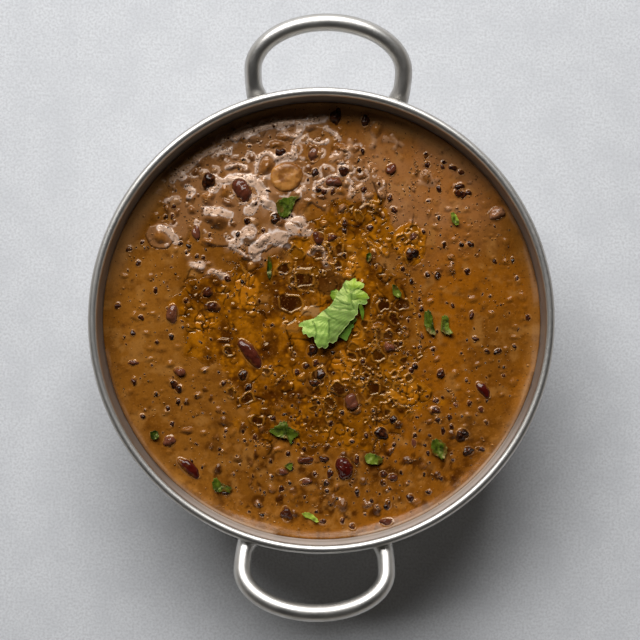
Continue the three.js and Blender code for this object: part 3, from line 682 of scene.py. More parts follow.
def side(x, y, bearing, low, high):
    """1 towards a bearing from the pan's axis, falling to 0 away from it."""
    return smoothstep(low, high, np.cos(np.arctan2(y, x) - bearing))


def sunny_side(x, y):
    """0 at the upper left to 1 at the lower right, where the wall faces the window."""
    return side(x, y, -1.05, -0.35, 0.75)


def lit_side(x, y):
    """1 where the window lights the inside of the wall."""
    return side(x, y, -1.34, 0.5, 0.8)


def dal_level(x, y):
    """The solid's own surface, without its gram."""
    radius = np.hypot(x, y)
    swell = 0.34 * np.sin(x / 17 + 0.6) * np.cos(y / 21 - 0.4) + 0.22 * np.sin((x - y) / 13 + 1.3)
    mound = 0.9 * np.exp(-((x + 34) ** 2 + (y - 52) ** 2) / 900)
    low, high = CLIMB_REACH
    reach = low + (high - low) * sunny_side(x, y) + 0.5 * noise(x, y, 14, 15)
    bend = np.exp((reach - DAL_RADIUS + radius) / CLIMB_BEND)
    climb = CLIMB_SLOPE * CLIMB_BEND * np.log1p(bend)
    edge = 1 - smoothstep(DAL_RADIUS - 12, DAL_RADIUS, radius)
    return DAL_LEVEL + (swell + mound) * edge + climb


def in_millimetres(row):
    px, py, length, width, angle = row[:5]
    x, y = from_photo(px, py)
    degrees = angle + math.degrees(PHOTO_TURN)
    return x, y, length * PIXEL_ON_DAL, width * PIXEL_ON_DAL, degrees


def room_for_pieces(x, y):
    """Less relief under the coriander and the onion, which lie on the solid's own surface."""
    room = np.ones_like(x)
    for outline in BIT_OUTLINES:
        places = np.array(outline)
        low, high = places.min(axis=0), places.max(axis=0)
        spot = (*((low + high) / 2), *(high - low + 8))
        room = np.minimum(room, 1 - 0.9 * blob(x, y, spot, 0.3))
    room = np.minimum(room, 1 - 0.5 * blob(x, y, (334, 312, 70, 60), 0.3))
    cx, cy, radius, _ = ONION
    return np.minimum(room, 1 - 0.7 * smoothstep(radius + 2.5, radius, np.hypot(x - cx, y - cy)))


class Surface:
    """The sauce's relief, colour and ghee, drawn feature by feature on an even raster."""

    def __init__(self):
        self.rng = np.random.default_rng(21)
        self.x, self.y = x, y = np.meshgrid(RASTER_LINE, RASTER_LINE, indexing="ij")
        self.wx = x + 0.55 * noise(x, y, 4.2, 61) + 0.3 * noise(x, y, 1.7, 62)
        self.wy = y + 0.55 * noise(x, y, 4.2, 63) + 0.3 * noise(x, y, 1.7, 64)
        self.thick, self.ghee = thick_zone(x, y), ghee_zone(x, y)
        self.height = 0.1 * noise(x, y, 26, 17) + 0.07 * fractal(x, y, 7, 13, 2)
        self.height += 0.8 * smoothstep(0.25, 0.75, self.thick) - 0.06 * self.ghee
        self.height += self.thick * 0.25 * fractal(x, y, 12, 11, 2)
        self.colour = np.ones((*x.shape, 3)) * linear(138, 86, 26)
        self.wash(linear(142, 81, 9), smoothstep(-60, 70, x))
        self.wash(linear(118, 70, 16), 0.5 + 0.7 * noise(x, y, 24, 81))
        self.wash(linear(100, 56, 12),
                  0.5 * smoothstep(0.1, 0.9, fractal(x, y, 4, 82, 4)))
        self.wash(linear(158, 108, 50),
                  0.5 * smoothstep(0.3, 1.0, fractal(x, y, 6, 86, 4)))
        # A painted sheen at the upper right: pale streaks where the light's reflection falls.
        self.painted_sheen = blob(x, y, (418, 178, 140, 150), 0.7)
        streaky = self.painted_sheen * (0.65 + 0.5 * fractal(x, y, 14, 88))
        self.wash(linear(166, 118, 80), 0.55 * streaky)
        lower = blob(x, y, (350, 470, 330, 170), 0.5)
        self.wash(linear(60, 26, 2), 0.85 * lower * smoothstep(0.1, 0.9, fractal(x, y, 5, 89)))
        self.wash(linear(162, 108, 48), 0.6 * lower * smoothstep(0.5, 1.1, fractal(x, y, 4, 90)))
        # A painted sheen over the thick part at the upper left, weaker at the very top.
        sheen = smoothstep(0.2, 0.8, self.thick) * (0.75 + 0.4 * fractal(x, y, 9, 84, 2))
        self.wash(linear(136, 92, 54), sheen * (1 - 0.6 * blob(x, y, (325, 140, 60, 60))))
        amber = fractal(x, y, 7, 83, 4)
        self.wash(linear(120, 68, 3), self.ghee)
        self.wash(linear(88, 46, 3), self.ghee * smoothstep(0.0, -0.7, amber))
        self.wash(linear(160, 96, 8), self.ghee * smoothstep(0.25, 1.1, amber))
        fine = fractal(x, y, 2.6, 87)
        self.wash(linear(56, 24, 2), 0.4 * self.ghee * smoothstep(0.2, 1.0, fine))
        self.wash(linear(168, 104, 14), 0.4 * self.ghee * smoothstep(-0.3, -1.0, fine))
        self.taken = np.zeros((0, 3))

    def paint(self, spot, tint, share):
        share = np.clip(share, 0, 1)[..., None]
        self.colour[spot] = self.colour[spot] * (1 - share) + np.array(tint) * share

    def wash(self, tint, share):
        self.paint((slice(None), slice(None)), tint, share)

    def near(self, x, y, reach):
        """The raster's cells round a point, and how far each is from it."""
        i, j = int((x + REACH) / STEP), int((y + REACH) / STEP)
        n = int(reach / STEP) + 2
        spot = slice(max(0, i - n), i + n + 1), slice(max(0, j - n), j + n + 1)
        return spot, self.wx[spot] - x, self.wy[spot] - y

    def round_thing(self, x, y, long, wide, degrees, reach):
        """Each near cell's share of the way out, its distance outside, its bearing, and its shade:
        1 on the side away from the light, for painted shade.
        """
        spot, dx, dy = self.near(x, y, max(long, wide) + reach)
        a, b = turn(dx, dy, -math.radians(degrees))
        bearing = np.arctan2(b, a)
        phase = self.rng.uniform(0, 6.28, 3)
        wobble = 1 + 0.12 * np.sin(2 * bearing + phase[0]) + 0.1 * np.sin(3 * bearing + phase[1])
        wobble += 0.06 * np.sin(5 * bearing + phase[2])
        share = np.hypot(a / long, b / wide) / wobble
        shade = smoothstep(-0.3, 0.7, -dy / np.maximum(0.2, np.hypot(dx, dy)))
        return spot, share, (share - 1) * (long + wide) / 2, bearing, shade

    def lump(self, x, y, long, wide, degrees, tall, tint, share, crease):
        """A dome with an uneven outline and a crease round it, with painted shade along the crease
        on the side away from the light.
        """
        spot, out, gap, _, shade = self.round_thing(x, y, long, wide, degrees, 1.5)
        self.height[spot] += tall * np.clip(1 - out**2, 0, 1) ** 1.5
        self.height[spot] -= 0.25 * crease * np.exp(-((gap / 0.5) ** 2))
        if tint:
            self.paint(spot, tint, share * smoothstep(1.05, 0.6, out))
        # Painted shade along the crease, on the side away from the light.
        self.paint(spot, linear(38, 12, 1), crease * shade * np.exp(-((gap - 0.1) / 0.4) ** 2))

    def pool(self, x, y, long, wide, degrees, tint, rim, open_ness):
        """A dip with a raised golden rim that is broken in places."""
        spot, out, gap, bearing, shade = self.round_thing(x, y, long, wide, degrees, 1.5)
        phase = self.rng.uniform(0, 6.28, 2)
        broken = np.sin(bearing + phase[0]) + 0.5 * np.sin(3 * bearing + phase[1])
        closed = smoothstep(open_ness - 0.4, open_ness + 0.3, broken)
        wall = rim * np.exp(-((gap / 0.38) ** 2)) * closed
        inside = smoothstep(0.3, -0.4, gap)
        level = (self.height[spot] * inside).sum() / max(1e-6, inside.sum()) - 0.2
        self.height[spot] += 0.8 * inside * (level - self.height[spot]) + 0.5 * wall
        self.paint(spot, tint, 0.8 * smoothstep(0.3, -0.8, gap))
        # Painted shadow of the rim: inside the dip on the side towards the light, outside it on the
        # side away from the light. The rim's tan is weaker on the side away from the light, a
        # painted shade.
        self.paint(spot, SHADOW, 0.7 * np.exp(-(((gap + 0.6) / 0.4) ** 2)) * (1 - shade))
        self.paint(spot, SHADOW, 0.7 * np.exp(-(((gap - 0.6) / 0.4) ** 2)) * shade)
        self.paint(spot, TAN, 0.65 * wall * (1 - 0.5 * shade))

    def dot(self, x, y, size, tint, share):
        spot, dx, dy = self.near(x, y, 2 * size)
        self.paint(spot, tint, share * np.exp(-(dx**2 + dy**2) / size**2))

    def line(self, places, width, tall, tint, share, seed, ragged=0.0):
        """A ridge, or a crease where tall is less than 0, through places in millimetres."""
        path = resample(places, 10 * len(places))
        middle = (path.min(axis=0) + path.max(axis=0)) / 2
        reach = np.ptp(path, axis=0).max() / 2 + 2.4 * width
        spot, dx, dy = self.near(*middle, reach)
        gap = np.full(dx.shape, 1e3)
        for px, py in path - middle:
            gap = np.minimum(gap, np.hypot(dx - px, dy - py))
        uneven_width = width * (0.8 + 0.5 * noise(self.x[spot], self.y[spot], 3.0, seed))
        edge = smoothstep(1.0, 0.2, gap / np.maximum(0.1, uneven_width))
        self.height[spot] += tall * edge
        if not ragged:
            self.paint(spot, tint, share * edge)
            return
        # A pale stream: a soft pale halo, the torn stream's own colour, partly a painted sheen, and
        # a painted glint along its border.
        self.paint(spot, linear(172, 128, 92),
                   0.6 * share * smoothstep(1.7, 0.5, gap / np.maximum(0.1, uneven_width)))
        torn = edge + ragged * noise(self.x[spot], self.y[spot], 3.4, seed + 1)
        edge = smoothstep(0.32, 0.5, torn) * smoothstep(0.0, 0.15, edge)
        self.paint(spot, tint, share * edge)
        self.paint(spot, GLINT, 0.8 * share * edge * smoothstep(0.85, 0.5, torn))

    def free(self, x, y, size, spacing):
        if len(self.taken):
            gap = np.hypot(self.taken[:, 0] - x, self.taken[:, 1] - y)
            if (gap < spacing * (self.taken[:, 2] + size)).any():
                return False
        self.taken = np.vstack([self.taken, (x, y, size)])
        return True

    def scatter(self, count, smallest, largest, wanted, spacing, skew=2.0):
        """Random free places where wanted is high, the largest things first."""
        rng = self.rng
        px, py = rng.uniform(105, 535, count), rng.uniform(105, 535, count)
        x, y = from_photo(px, py)
        sizes = np.sort(smallest + (largest - smallest) * rng.random(count) ** skew)[::-1]
        share = sample(wanted, x, y)
        luck = rng.random(count)
        return [(x[k], y[k], sizes[k]) for k in range(count)
                if luck[k] < share[k] and self.free(x[k], y[k], sizes[k], spacing)]

    def random_lump(self, place, narrow, tall, tint, share, crease):
        """narrow, tall and share are ranges, in that order of their draws."""
        x, y, size = place
        draw = self.rng.uniform
        self.lump(x, y, size, size * draw(*narrow), draw(0, 180), draw(*tall) * size, tint,
                  draw(*share) if isinstance(share, tuple) else share, crease)

    def either(self, odds, first, second):
        return first if self.rng.random() < odds else second

    def draw_ghee(self):
        rng = self.rng
        deep, amber, gold = linear(42, 12, 1), linear(112, 66, 4), linear(178, 108, 10)
        rimmed = self.ghee * zone(self.x, self.y, RIMMED, 0.3, 0.3, 0.7)
        pools = []
        for px, py, width, height, tone in POOLS:
            x, y = from_photo(px, py)
            size = np.array([width, height]) / 2 * PIXEL_ON_DAL
            self.free(x, y, size.mean(), 0)
            tint = gold if tone > 0.5 else amber if tone > 0 else deep
            pools.append((x, y, *size, 0, tint, 1.0, -0.9))
        for x, y, size in self.scatter(2200, 0.8, 2.8, rimmed, 0.97, 1.2):
            tint = self.either(0.65, deep, amber)
            pools.append((x, y, size, size * rng.uniform(0.65, 1), rng.uniform(0, 180), tint,
                          rng.uniform(0.6, 1), rng.uniform(-1.2, 0.3)))
        for spot in DEEP:
            patch = self.ghee * blob(self.wx, self.wy, spot, 0.5)
            self.height -= 0.12 * patch
            self.wash(linear(72, 33, 2), 0.8 * patch)
        swirl = zone(self.x, self.y, SWIRLS, 0.25, 0.35, 0.7)
        contour = np.abs(noise(self.wx, self.wy, 3.0, 97))
        self.height += swirl * (0.35 * smoothstep(0.1, 0.5, contour) - 0.15)
        self.wash(linear(176, 106, 14), 0.85 * swirl)
        self.wash(linear(54, 22, 2), 0.9 * swirl * smoothstep(0.24, 0.08, contour))
        for x, y, size in self.scatter(4000, 0.6, 2.6, self.ghee, 1.15, 2.2):
            if rng.random() < 0.6:
                tint = self.either(0.5, linear(64, 28, 3), linear(146, 90, 20))
                self.lump(x, y, size, size * rng.uniform(0.6, 1), rng.uniform(0, 180),
                          rng.uniform(0.08, 0.3) * size, tint, rng.uniform(0.2, 0.8),
                          rng.uniform(0.3, 1))
        for x, y, size in self.scatter(4000, 0.5, 1.5, self.ghee, 0.9):
            self.dot(x, y, size, gold, rng.uniform(0.3, 0.95))
        for _ in range(300):
            x, y = from_photo(*rng.uniform(180, 445, 2))
            if sample(self.ghee, np.array([x]), np.array([y]))[0] < 0.5:
                continue
            bearing, bend = rng.uniform(0, 6.28), rng.uniform(-0.8, 0.8)
            length = rng.uniform(0.8, 2.4)
            places = [(x, y)]
            for step in range(rng.integers(2, 6)):
                bearing += bend
                places.append((places[-1][0] + length * math.cos(bearing),
                               places[-1][1] + length * math.sin(bearing)))
            self.line(places, rng.uniform(0.5, 0.9), -0.22, linear(30, 8, 0), 0.85, 66)
        contour = np.abs(noise(self.wx, self.wy, 5.2, 95))
        net = rimmed * smoothstep(0.13, 0.04, contour)
        net = net * smoothstep(-0.4, 0.3, noise(self.x, self.y, 7, 96))
        self.height += 0.3 * net
        self.wash(TAN, 0.6 * net)
        for pool in pools:
            self.pool(*pool)
        for places in THREADS:
            self.line([from_photo(*p) for p in places], 0.7, 0.4, TAN, 0.65, 66)

    def draw_thick(self):
        rng = self.rng
        # Faint pale streams: a painted sheen with some pale sauce.
        for width, places in FAINT_STREAMS:
            self.line([from_photo(*p) for p in places], 1.2 * width * PIXEL_ON_DAL, 0.5,
                      linear(176, 134, 100), 0.6, 67)
        for row in LUMPS:
            x, y, length, width, angle = in_millimetres(row)
            self.free(x, y, (length + width) / 4, 0)
            tint = linear(*(np.array((92, 54, 24)) + row[5] * np.array((62, 42, 10))))
            self.lump(x, y, length / 2, width / 2, angle, 0.28 * width, tint, 0.85, 0.45)
        dense = self.thick * (1 - self.ghee)
        for x, y, size in self.scatter(3500, 0.7, 3.2, dense, 1.02, 1.8):
            tint = self.either(0.5, linear(88, 48, 18), linear(146, 104, 66))
            self.random_lump((x, y, size), (0.6, 1), (0.2, 0.42), tint, (0.5, 0.95), 0.6)
            if rng.random() < 0.55:
                turns = rng.uniform(0, 6.28) + np.linspace(0, rng.uniform(1.5, 4), 5)
                far = 1.15 * size
                ring = [(x + far * math.cos(t), y + far * math.sin(t)) for t in turns]
                self.line(ring, 0.8, 0.25, PALE_SAUCE_AND_SHEEN, rng.uniform(0.4, 0.95), 69, 0.2)
        for width, places in STREAMS:
            self.line([from_photo(*p) for p in places], 1.05 * width * PIXEL_ON_DAL, 0.45, PALE_SAUCE_AND_SHEEN,
                      0.7, 67, 0.18)

    def draw_plain(self):
        crowded = (1 - 0.6 * self.ghee) * blob(self.x, self.y, (350, 460, 330, 190), 0.5)
        for place in self.scatter(900, 0.9, 2.8, 0.6 * crowded, 1.15, 1.5):
            tint = self.either(0.6, linear(58, 26, 8), linear(128, 80, 38))
            self.random_lump(place, (0.4, 0.9), (0.3, 0.5), tint, (0.5, 0.95), 0.8)
        for place in self.scatter(900, 0.7, 2.4, 0.6 * self.painted_sheen, 1.15, 1.5):
            tint = self.either(0.6, linear(158, 114, 80), linear(92, 52, 24))
            self.random_lump(place, (0.5, 1), (0.3, 0.7), tint, 0.65, 0.8)
        plain = np.clip(1 - self.ghee - self.thick, 0, 1) * 0.8
        for place in self.scatter(2200, 0.5, 2.2, plain, 1.25, 2.6):
            self.random_lump(place, (0.7, 1), (0.2, 0.5), linear(134, 84, 30), 0.4, 0.35)
        for x, y, size in self.scatter(1500, 0.4, 1.3, plain, 1.0, 2.0):
            self.dot(x, y, size, linear(70, 38, 12), self.rng.uniform(0.2, 0.8))

    def draw_flakes(self):
        for places, tint, tall in FLAKES:
            ring = np.array([from_photo(*p) for p in places])
            middle = ring.mean(axis=0)
            spot, dx, dy = self.near(*middle, np.ptp(ring, axis=0).max())
            bearing = np.arctan2(dy, dx)
            own = ring - middle
            own = own[np.argsort(np.arctan2(own[:, 1], own[:, 0]))]
            turns = np.arctan2(own[:, 1], own[:, 0])
            size = np.hypot(own[:, 0], own[:, 1])
            outline = np.interp(bearing, turns, size, period=2 * np.pi)
            gap = np.hypot(dx, dy) - outline
            self.height[spot] += tall * smoothstep(0.4, -1.2, gap)
            self.paint(spot, linear(*tint), 0.9 * smoothstep(0.25, -0.25, gap))
            self.paint(spot, TAN, 0.4 * np.exp(-((gap / 0.35) ** 2)))

    def finish(self):
        radius = np.hypot(self.x, self.y)
        to_wall = DAL_RADIUS - radius
        beside = to_wall + 0.8 * noise(self.x, self.y, 9, 19)
        sunny = sunny_side(self.x, self.y)
        facing = lit_side(self.x, self.y)
        # Painted light near the wall: paler tan within a few millimetres of it, and a pale painted
        # highlight on the sauce's rising edge, both more on the sunny side and less where the wall
        # faces the window.
        self.wash(linear(160, 112, 56),
                  0.3 * (0.3 + sunny) * (1 - 0.7 * facing) * smoothstep(7, 1, beside))
        self.wash(linear(196, 166, 138), (0.12 + 0.1 * sunny) * (1 - facing)
                  * smoothstep(1.2 + 1.6 * sunny, 0.5 + sunny, beside))
        # Where the wall faces the window: darker just in from the wall, then a painted highlight at
        # the waterline.
        self.wash(linear(92, 58, 22), 0.45 * facing * smoothstep(3.2, 1.4, to_wall))
        self.wash(linear(206, 180, 156), 0.5 * facing * smoothstep(1.0, 0.4, to_wall))
        shady = side(self.x, self.y, 1.9, 0.3, 0.9)
        # Painted shade along the sauce's edge at the wall, away from the lit wall and from the
        # shady side.
        self.wash(linear(70, 40, 14),
                  0.65 * (1 - facing) * (1 - shady) * smoothstep(0.9, 0.3, to_wall))
        # Painted light that lifts the rim's shadow on the sauce near the wall, on the shady side.
        self.wash(linear(206, 152, 96), 0.6 * shady * smoothstep(10, 3, to_wall))
        calm = 1 - smoothstep(DAL_RADIUS - 9, DAL_RADIUS - 3, radius)
        self.height = self.height * calm * room_for_pieces(self.x, self.y)


def sample(raster, x, y):
    """The raster's value at places in millimetres."""
    u, v = (x + REACH) / STEP, (y + REACH) / STEP
    i, j = np.floor(u).astype(int), np.floor(v).astype(int)
    f, g = u - i, v - j
    if raster.ndim == 3:
        f, g = f[..., None], g[..., None]
    i, j = np.clip(i, 0, len(raster) - 2), np.clip(j, 0, len(raster) - 2)
    low = raster[i, j] * (1 - f) + raster[i + 1, j] * f
    high = raster[i, j + 1] * (1 - f) + raster[i + 1, j + 1] * f
    return low * (1 - g) + high * g


def relief(x, y):
    """Height over the solid's surface, and the colour of the sauce, at each point."""
    return sample(SURFACE.height, x, y), sample(SURFACE.colour, x, y)


def surface(x, y):
    """The wet surface's height."""
    return dal_level(x, y) + relief(x, y)[0]


def level_at(x, y):
    return float(dal_level(np.array([x]), np.array([y]))[0])


def square_to_disc(u, v):
    """A square grid of -1..1 onto the unit disc with even cells."""
    r = np.where(np.abs(u) > np.abs(v), u, v)
    with np.errstate(divide="ignore", invalid="ignore"):
        phi = np.where(np.abs(u) > np.abs(v), np.pi / 4 * v / u, np.pi / 2 - np.pi / 4 * u / v)
    phi = np.where((u == 0) & (v == 0), 0, phi)
    return r * np.cos(phi), r * np.sin(phi)


def grid_faces(index):
    a, b, c, d = index[:-1, :-1], index[1:, :-1], index[1:, 1:], index[:-1, 1:]
    return np.stack([a, b, c, d], axis=-1).reshape(-1, 4)


def make_dal(sauce):
    """One closed mesh: the surface as an even grid, then down the pan's wall to its base."""
    n = DAL_CELLS
    line = np.linspace(-1, 1, n + 1)
    u, v = np.meshgrid(line, line, indexing="ij")
    x, y = square_to_disc(u.ravel(), v.ravel())
    x, y = x * SAUCE_RADIUS, y * SAUCE_RADIUS
    height, colour = relief(x, y)
    under = 0.7 * smoothstep(0.45, 0.8, film(x, y))
    points = [np.stack([x, y, dal_level(x, y) + height - under], axis=1)]
    index = np.arange((n + 1) ** 2).reshape(n + 1, n + 1)
    faces = grid_faces(index).tolist()
    above = np.concatenate([index[:-1, 0], index[-1, :-1], index[:0:-1, -1], index[0, :0:-1]])
    angles = np.arctan2(y[above], x[above])
    count = len(angles)
    depth = (WALL_TOP - points[0][above, 2]) / (WALL_TOP - WALL)
    wall = wall_radius(INNER_RIM_RADIUS, depth)
    points[0][above, :2] *= ((wall - SAUCE_GAP) / SAUCE_RADIUS)[:, None]
    for share in (0.76, 0.6, 0.4, 0.0):
        radius, level = wall_point(INNER_RIM_RADIUS - FIT_GAP, WALL + FIT_GAP, share)
        below = sum(len(p) for p in points) + np.arange(count)
        points.append(np.stack([radius * np.cos(angles), radius * np.sin(angles),
                                np.full(count, level)], axis=1))
        faces += [(above[k], below[k], below[(k + 1) % count], above[(k + 1) % count])
                  for k in range(count)]
        above = below
    faces.append(tuple(above[::-1]))
    points = np.concatenate(points)
    colour = np.concatenate([colour, np.tile(linear(128, 78, 24), (4 * count, 1))])
    piece = build("dal_sauce", points, faces, sauce, {
        "tint": colour, "ghee": ghee_zone(points[:, 0], points[:, 1])})
    # Flat sides, so that the surface's own shading doesn't bend down at its edge.
    piece.data.polygons.foreach_set("use_smooth", (np.arange(len(faces)) < n * n).tolist())
    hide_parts("dal")


def film(x, y):
    """1 where the fine film over the lumps and the ghee shows, 0 where the sauce does."""
    return np.maximum(smoothstep(0, 0.6, thick_zone(x, y)), ghee_zone(x, y))


def make_film(sauce):
    """The same surface again where it is finely broken up, with points closer together."""
    line = np.arange(-DAL_RADIUS, DAL_RADIUS, FILM_STEP)
    x, y = np.meshgrid(line, line, indexing="ij")
    inside = np.hypot(x, y) < DAL_RADIUS - 4
    share = np.zeros_like(x)
    share[inside] = film(x[inside], y[inside])
    quads = grid_faces(np.arange(x.size).reshape(x.shape))
    quads = quads[share.ravel()[quads].min(axis=1) > 0.01]
    used, faces = np.unique(quads, return_inverse=True)
    faces = faces.reshape(-1, 4)
    x, y, share = x.ravel()[used], y.ravel()[used], share.ravel()[used]
    height, colour = relief(x, y)
    z = dal_level(x, y) + height + 0.03 - 0.63 * smoothstep(0.3, 0.05, share)
    build("dal_film", np.column_stack([x, y, z]), faces.tolist(), sauce, {
        "tint": colour, "ghee": ghee_zone(x, y)})


def make_bubbles(sauce):
    """Bubbles and grains that stand in the sauce: low domes, many along the streams' edges."""
    rng = np.random.default_rng(17)
    radius = (DAL_RADIUS - 3) * np.sqrt(rng.random(BUBBLE_TRIES))
    bearing = rng.uniform(0, 2 * np.pi, BUBBLE_TRIES)
    x, y = radius * np.cos(bearing), radius * np.sin(bearing)
    thick, ghee = thick_zone(x, y), ghee_zone(x, y)
    clusters = smoothstep(0.0, 0.8, fractal(x, y, 7, 98, 2))
    painted_sheen = sample(SURFACE.painted_sheen, x, y)
    density = 0.06 + 0.3 * clusters * (1 - ghee) + 0.3 * thick + 0.05 * ghee + 0.2 * painted_sheen
    keep = rng.random(BUBBLE_TRIES) < density
    x, y = x[keep], y[keep]
    lines = [(p, 0.5) for p in THREADS + STRINGS + STRINGS]
    lines += [(p, 0.45 * width) for width, p in STREAMS]
    for places, beside in lines:
        path = resample([from_photo(*p) for p in places], 5 * len(places))
        offset = beside * PIXEL_ON_DAL * np.sign(rng.normal(size=len(path)))
        x = np.append(x, path[:, 0] + offset + rng.normal(0, 0.35, len(path)))
        y = np.append(y, path[:, 1] + offset + rng.normal(0, 0.35, len(path)))
    clear = room_for_pieces(x, y) > 0.7
    x, y = x[clear], y[clear]
    height, colour = relief(x, y)
    level = dal_level(x, y) + height
    sizes = 0.24 + 0.42 * rng.random(len(x)) ** 2.5
    n = DOME_SIDES
    around = np.linspace(0, 2 * np.pi, n + 1)[:-1]
    rings = [(1.3, -0.3), (1.0, 0.12), (0.72, 0.5), (0.38, 0.76)]
    dome = np.array([(r * math.cos(a), r * math.sin(a), z) for r, z in rings for a in around]
                    + [(0, 0, 0.84)])
    tip = len(dome) - 1
    dome_faces = [(n * r + k, n * r + (k + 1) % n, n * r + n + (k + 1) % n, n * r + n + k)
                  for r in range(len(rings) - 1) for k in range(n)]
    dome_faces += [(tip - n + k, tip - n + (k + 1) % n, tip) for k in range(n)]
    parts, tints = [], []
    for k in range(len(x)):
        stretch = rng.uniform(0.75, 1.3)
        parts.append((dome * (sizes[k] * stretch, sizes[k] / stretch, sizes[k])
                      + (x[k], y[k], level[k]), dome_faces))
        dark = rng.random() < 0.4
        own = linear(52, 28, 12) if dark else linear(156, 108, 58)
        share = rng.uniform(0.3, 0.9) if dark else rng.uniform(0.1, 0.6)
        tints.append(np.tile(colour[k] * (1 - share) + np.array(own) * share, (len(dome), 1)))
    points, faces = gather(parts)
    tints = np.concatenate(tints)
    build("dal_bubbles", points, faces, sauce,
          {"tint": tints, "ghee": np.ones(len(points))})


def sauce_material(name, gloss):
    """Wet sauce, coloured point by point, with grain finer than its mesh."""
    base, shader = material(name, linear(116, 70, 24))
    tree = base.node_tree
    where = place(tree)
    tint = attribute(tree, "tint").outputs["Color"]
    ghee = attribute(tree, "ghee").outputs["Fac"]
    middle = grain(tree, where, 3.0, 3.0, 0.3)
    small = grain(tree, where, 0.9, 3.0)

    def times(*values):
        product = values[0]
        for value in values[1:]:
            product = maths(tree, "MULTIPLY", product, value)
        return product

    colour = mix(tree, times(span(tree, small, 0.55, 0.8), 0.35), tint, linear(176, 118, 58))
    colour = mix(tree, times(span(tree, small, 0.45, 0.25), 0.3), colour, linear(64, 34, 10))
    specks = node(tree, "TexVoronoi", {"Vector": where, "Scale": 0.34, "Randomness": 1.0})
    speck = span(tree, specks.outputs["Distance"], 0.06, 0.13, 1.0, 0.0)
    colour = mix(tree, times(speck, 0.75), colour, linear(44, 24, 10))
    height = maths(tree, "ADD", times(small, 0.05), times(middle, 0.1))
    height = maths(tree, "ADD", height, times(ghee, small, 0.02))
    set_inputs(tree, shader, {
        "Base Color": colour, "Roughness": span(tree, ghee, 0.0, 1.0, 0.2, 0.12), "IOR": 1.6,
        "Specular IOR Level": gloss,
        "Specular Tint": mix(tree, ghee, (1.0, 0.85, 0.7), (1.0, 0.74, 0.4)),
        "Coat Weight": span(tree, ghee, 0.0, 1.0, 0.08, 0.16), "Coat Roughness": 0.05,
        "Normal": bump(tree, height, 1.0)})
    return base


# ------------------------------------------------------------------ gram and its wet collars
def random_gram():
    """Small gram tips all over: px, py, length, width, angle, taken at random by a density."""
    rng = np.random.default_rng(12)
    taken = [(r[0], r[1], r[2]) for r in DARK_GRAM + MAUVE_GRAM]
    found = []
    while len(found) < TIP_COUNT:
        px, py = rng.uniform(104, 538, 2)
        length = 2.2 + 3.6 * rng.random() ** 2.2
        dense = 0.35 + 0.65 * math.exp(-((px - 350) ** 2 + (py - 430) ** 2) / 12000)
        clear = all(math.hypot(px - t[0], py - t[1]) > 0.5 * (length + t[2]) + 1 for t in taken)
        on_leaf = 292 < px < 372 and 272 < py < 352
        inside = math.hypot(px - 321, py - 320) < 205
        if rng.random() < dense and clear and inside and not on_leaf:
            found.append((px, py, length, length * rng.uniform(0.4, 1), rng.uniform(0, 180)))
            taken.append((px, py, length))
    return found


def uneven(ball, rng, amount):
    """A unit ball with shallow dents and shoulders."""
    a = np.arctan2(ball[:, 1], ball[:, 0])
    flat = np.hypot(ball[:, 0], ball[:, 1])
    shift = rng.uniform(0, 2 * np.pi, 4)
    scale = 1 + amount * flat * (0.5 * np.sin(2 * a + shift[0]) + 0.4 * np.sin(3 * a + shift[1])
                                 + 0.3 * np.sin(5 * a + shift[2]))
    scale += 0.6 * amount * np.sin(4 * ball[:, 2] + 3 * ball[:, 0] + shift[3])
    return ball * scale[:, None]


def make_gram(skin, sauce):
    rng = np.random.default_rng(3)
    ball, ball_faces = sphere(20, 12)
    drop, drop_faces = sphere(10, 7)
    dark = [linear(26, 6, 2), linear(20, 6, 2), linear(38, 12, 5), linear(50, 20, 9)]
    mauve = [linear(94, 52, 36), linear(106, 62, 44), linear(80, 38, 24)]
    kinds = [(DARK_GRAM, dark, ball, ball_faces), (MAUVE_GRAM, mauve, ball, ball_faces),
             (random_gram(), dark[:3], drop, drop_faces)]
    bodies, tints, covers, rings = [], [], [], []
    for rows, choices, unit, unit_faces in kinds:
        places = [in_millimetres(row) for row in rows]
        levels = surface(np.array([p[0] for p in places]), np.array([p[1] for p in places]))
        for (x, y, length, width, angle), level in zip(places, levels):
            tall = 0.42 * width
            sunk = rng.uniform(0.05, 0.45) * tall
            shape = uneven(unit, rng, 0.28) * (length / 2, width / 2, tall)
            tilt = Euler((rng.normal(0, 0.2), rng.normal(0, 0.2), math.radians(angle)))
            shape = shape @ np.array(tilt.to_matrix()).T
            tint = np.array(choices[rng.integers(len(choices))]) * rng.uniform(0.75, 1.25)
            bodies.append((shape + (x, y, level - sunk), unit_faces))
            tints.append(np.tile(tint, (len(unit), 1)))
            wet = 0.45 * tall * noise(shape[:, 0] + x, shape[:, 1] + y, 1.3, 44)
            wet = shape[:, 2] - sunk + wet
            covers.append(smoothstep(-0.1 * tall, 0.35 * tall, wet))
            keep = math.sqrt(1 - (sunk / tall) ** 2)
            rings.append((x, y, 0.5 * length * keep, 0.5 * width * keep, angle,
                          min(0.34, 0.16 * width) * rng.uniform(0.6, 1.2)))
    points, faces = gather(bodies)
    build("black_gram", points, faces, skin,
          {"tint": np.concatenate(tints), "cover": np.concatenate(covers)})
    make_collars("gram_collars", rings, sauce, 0.28)


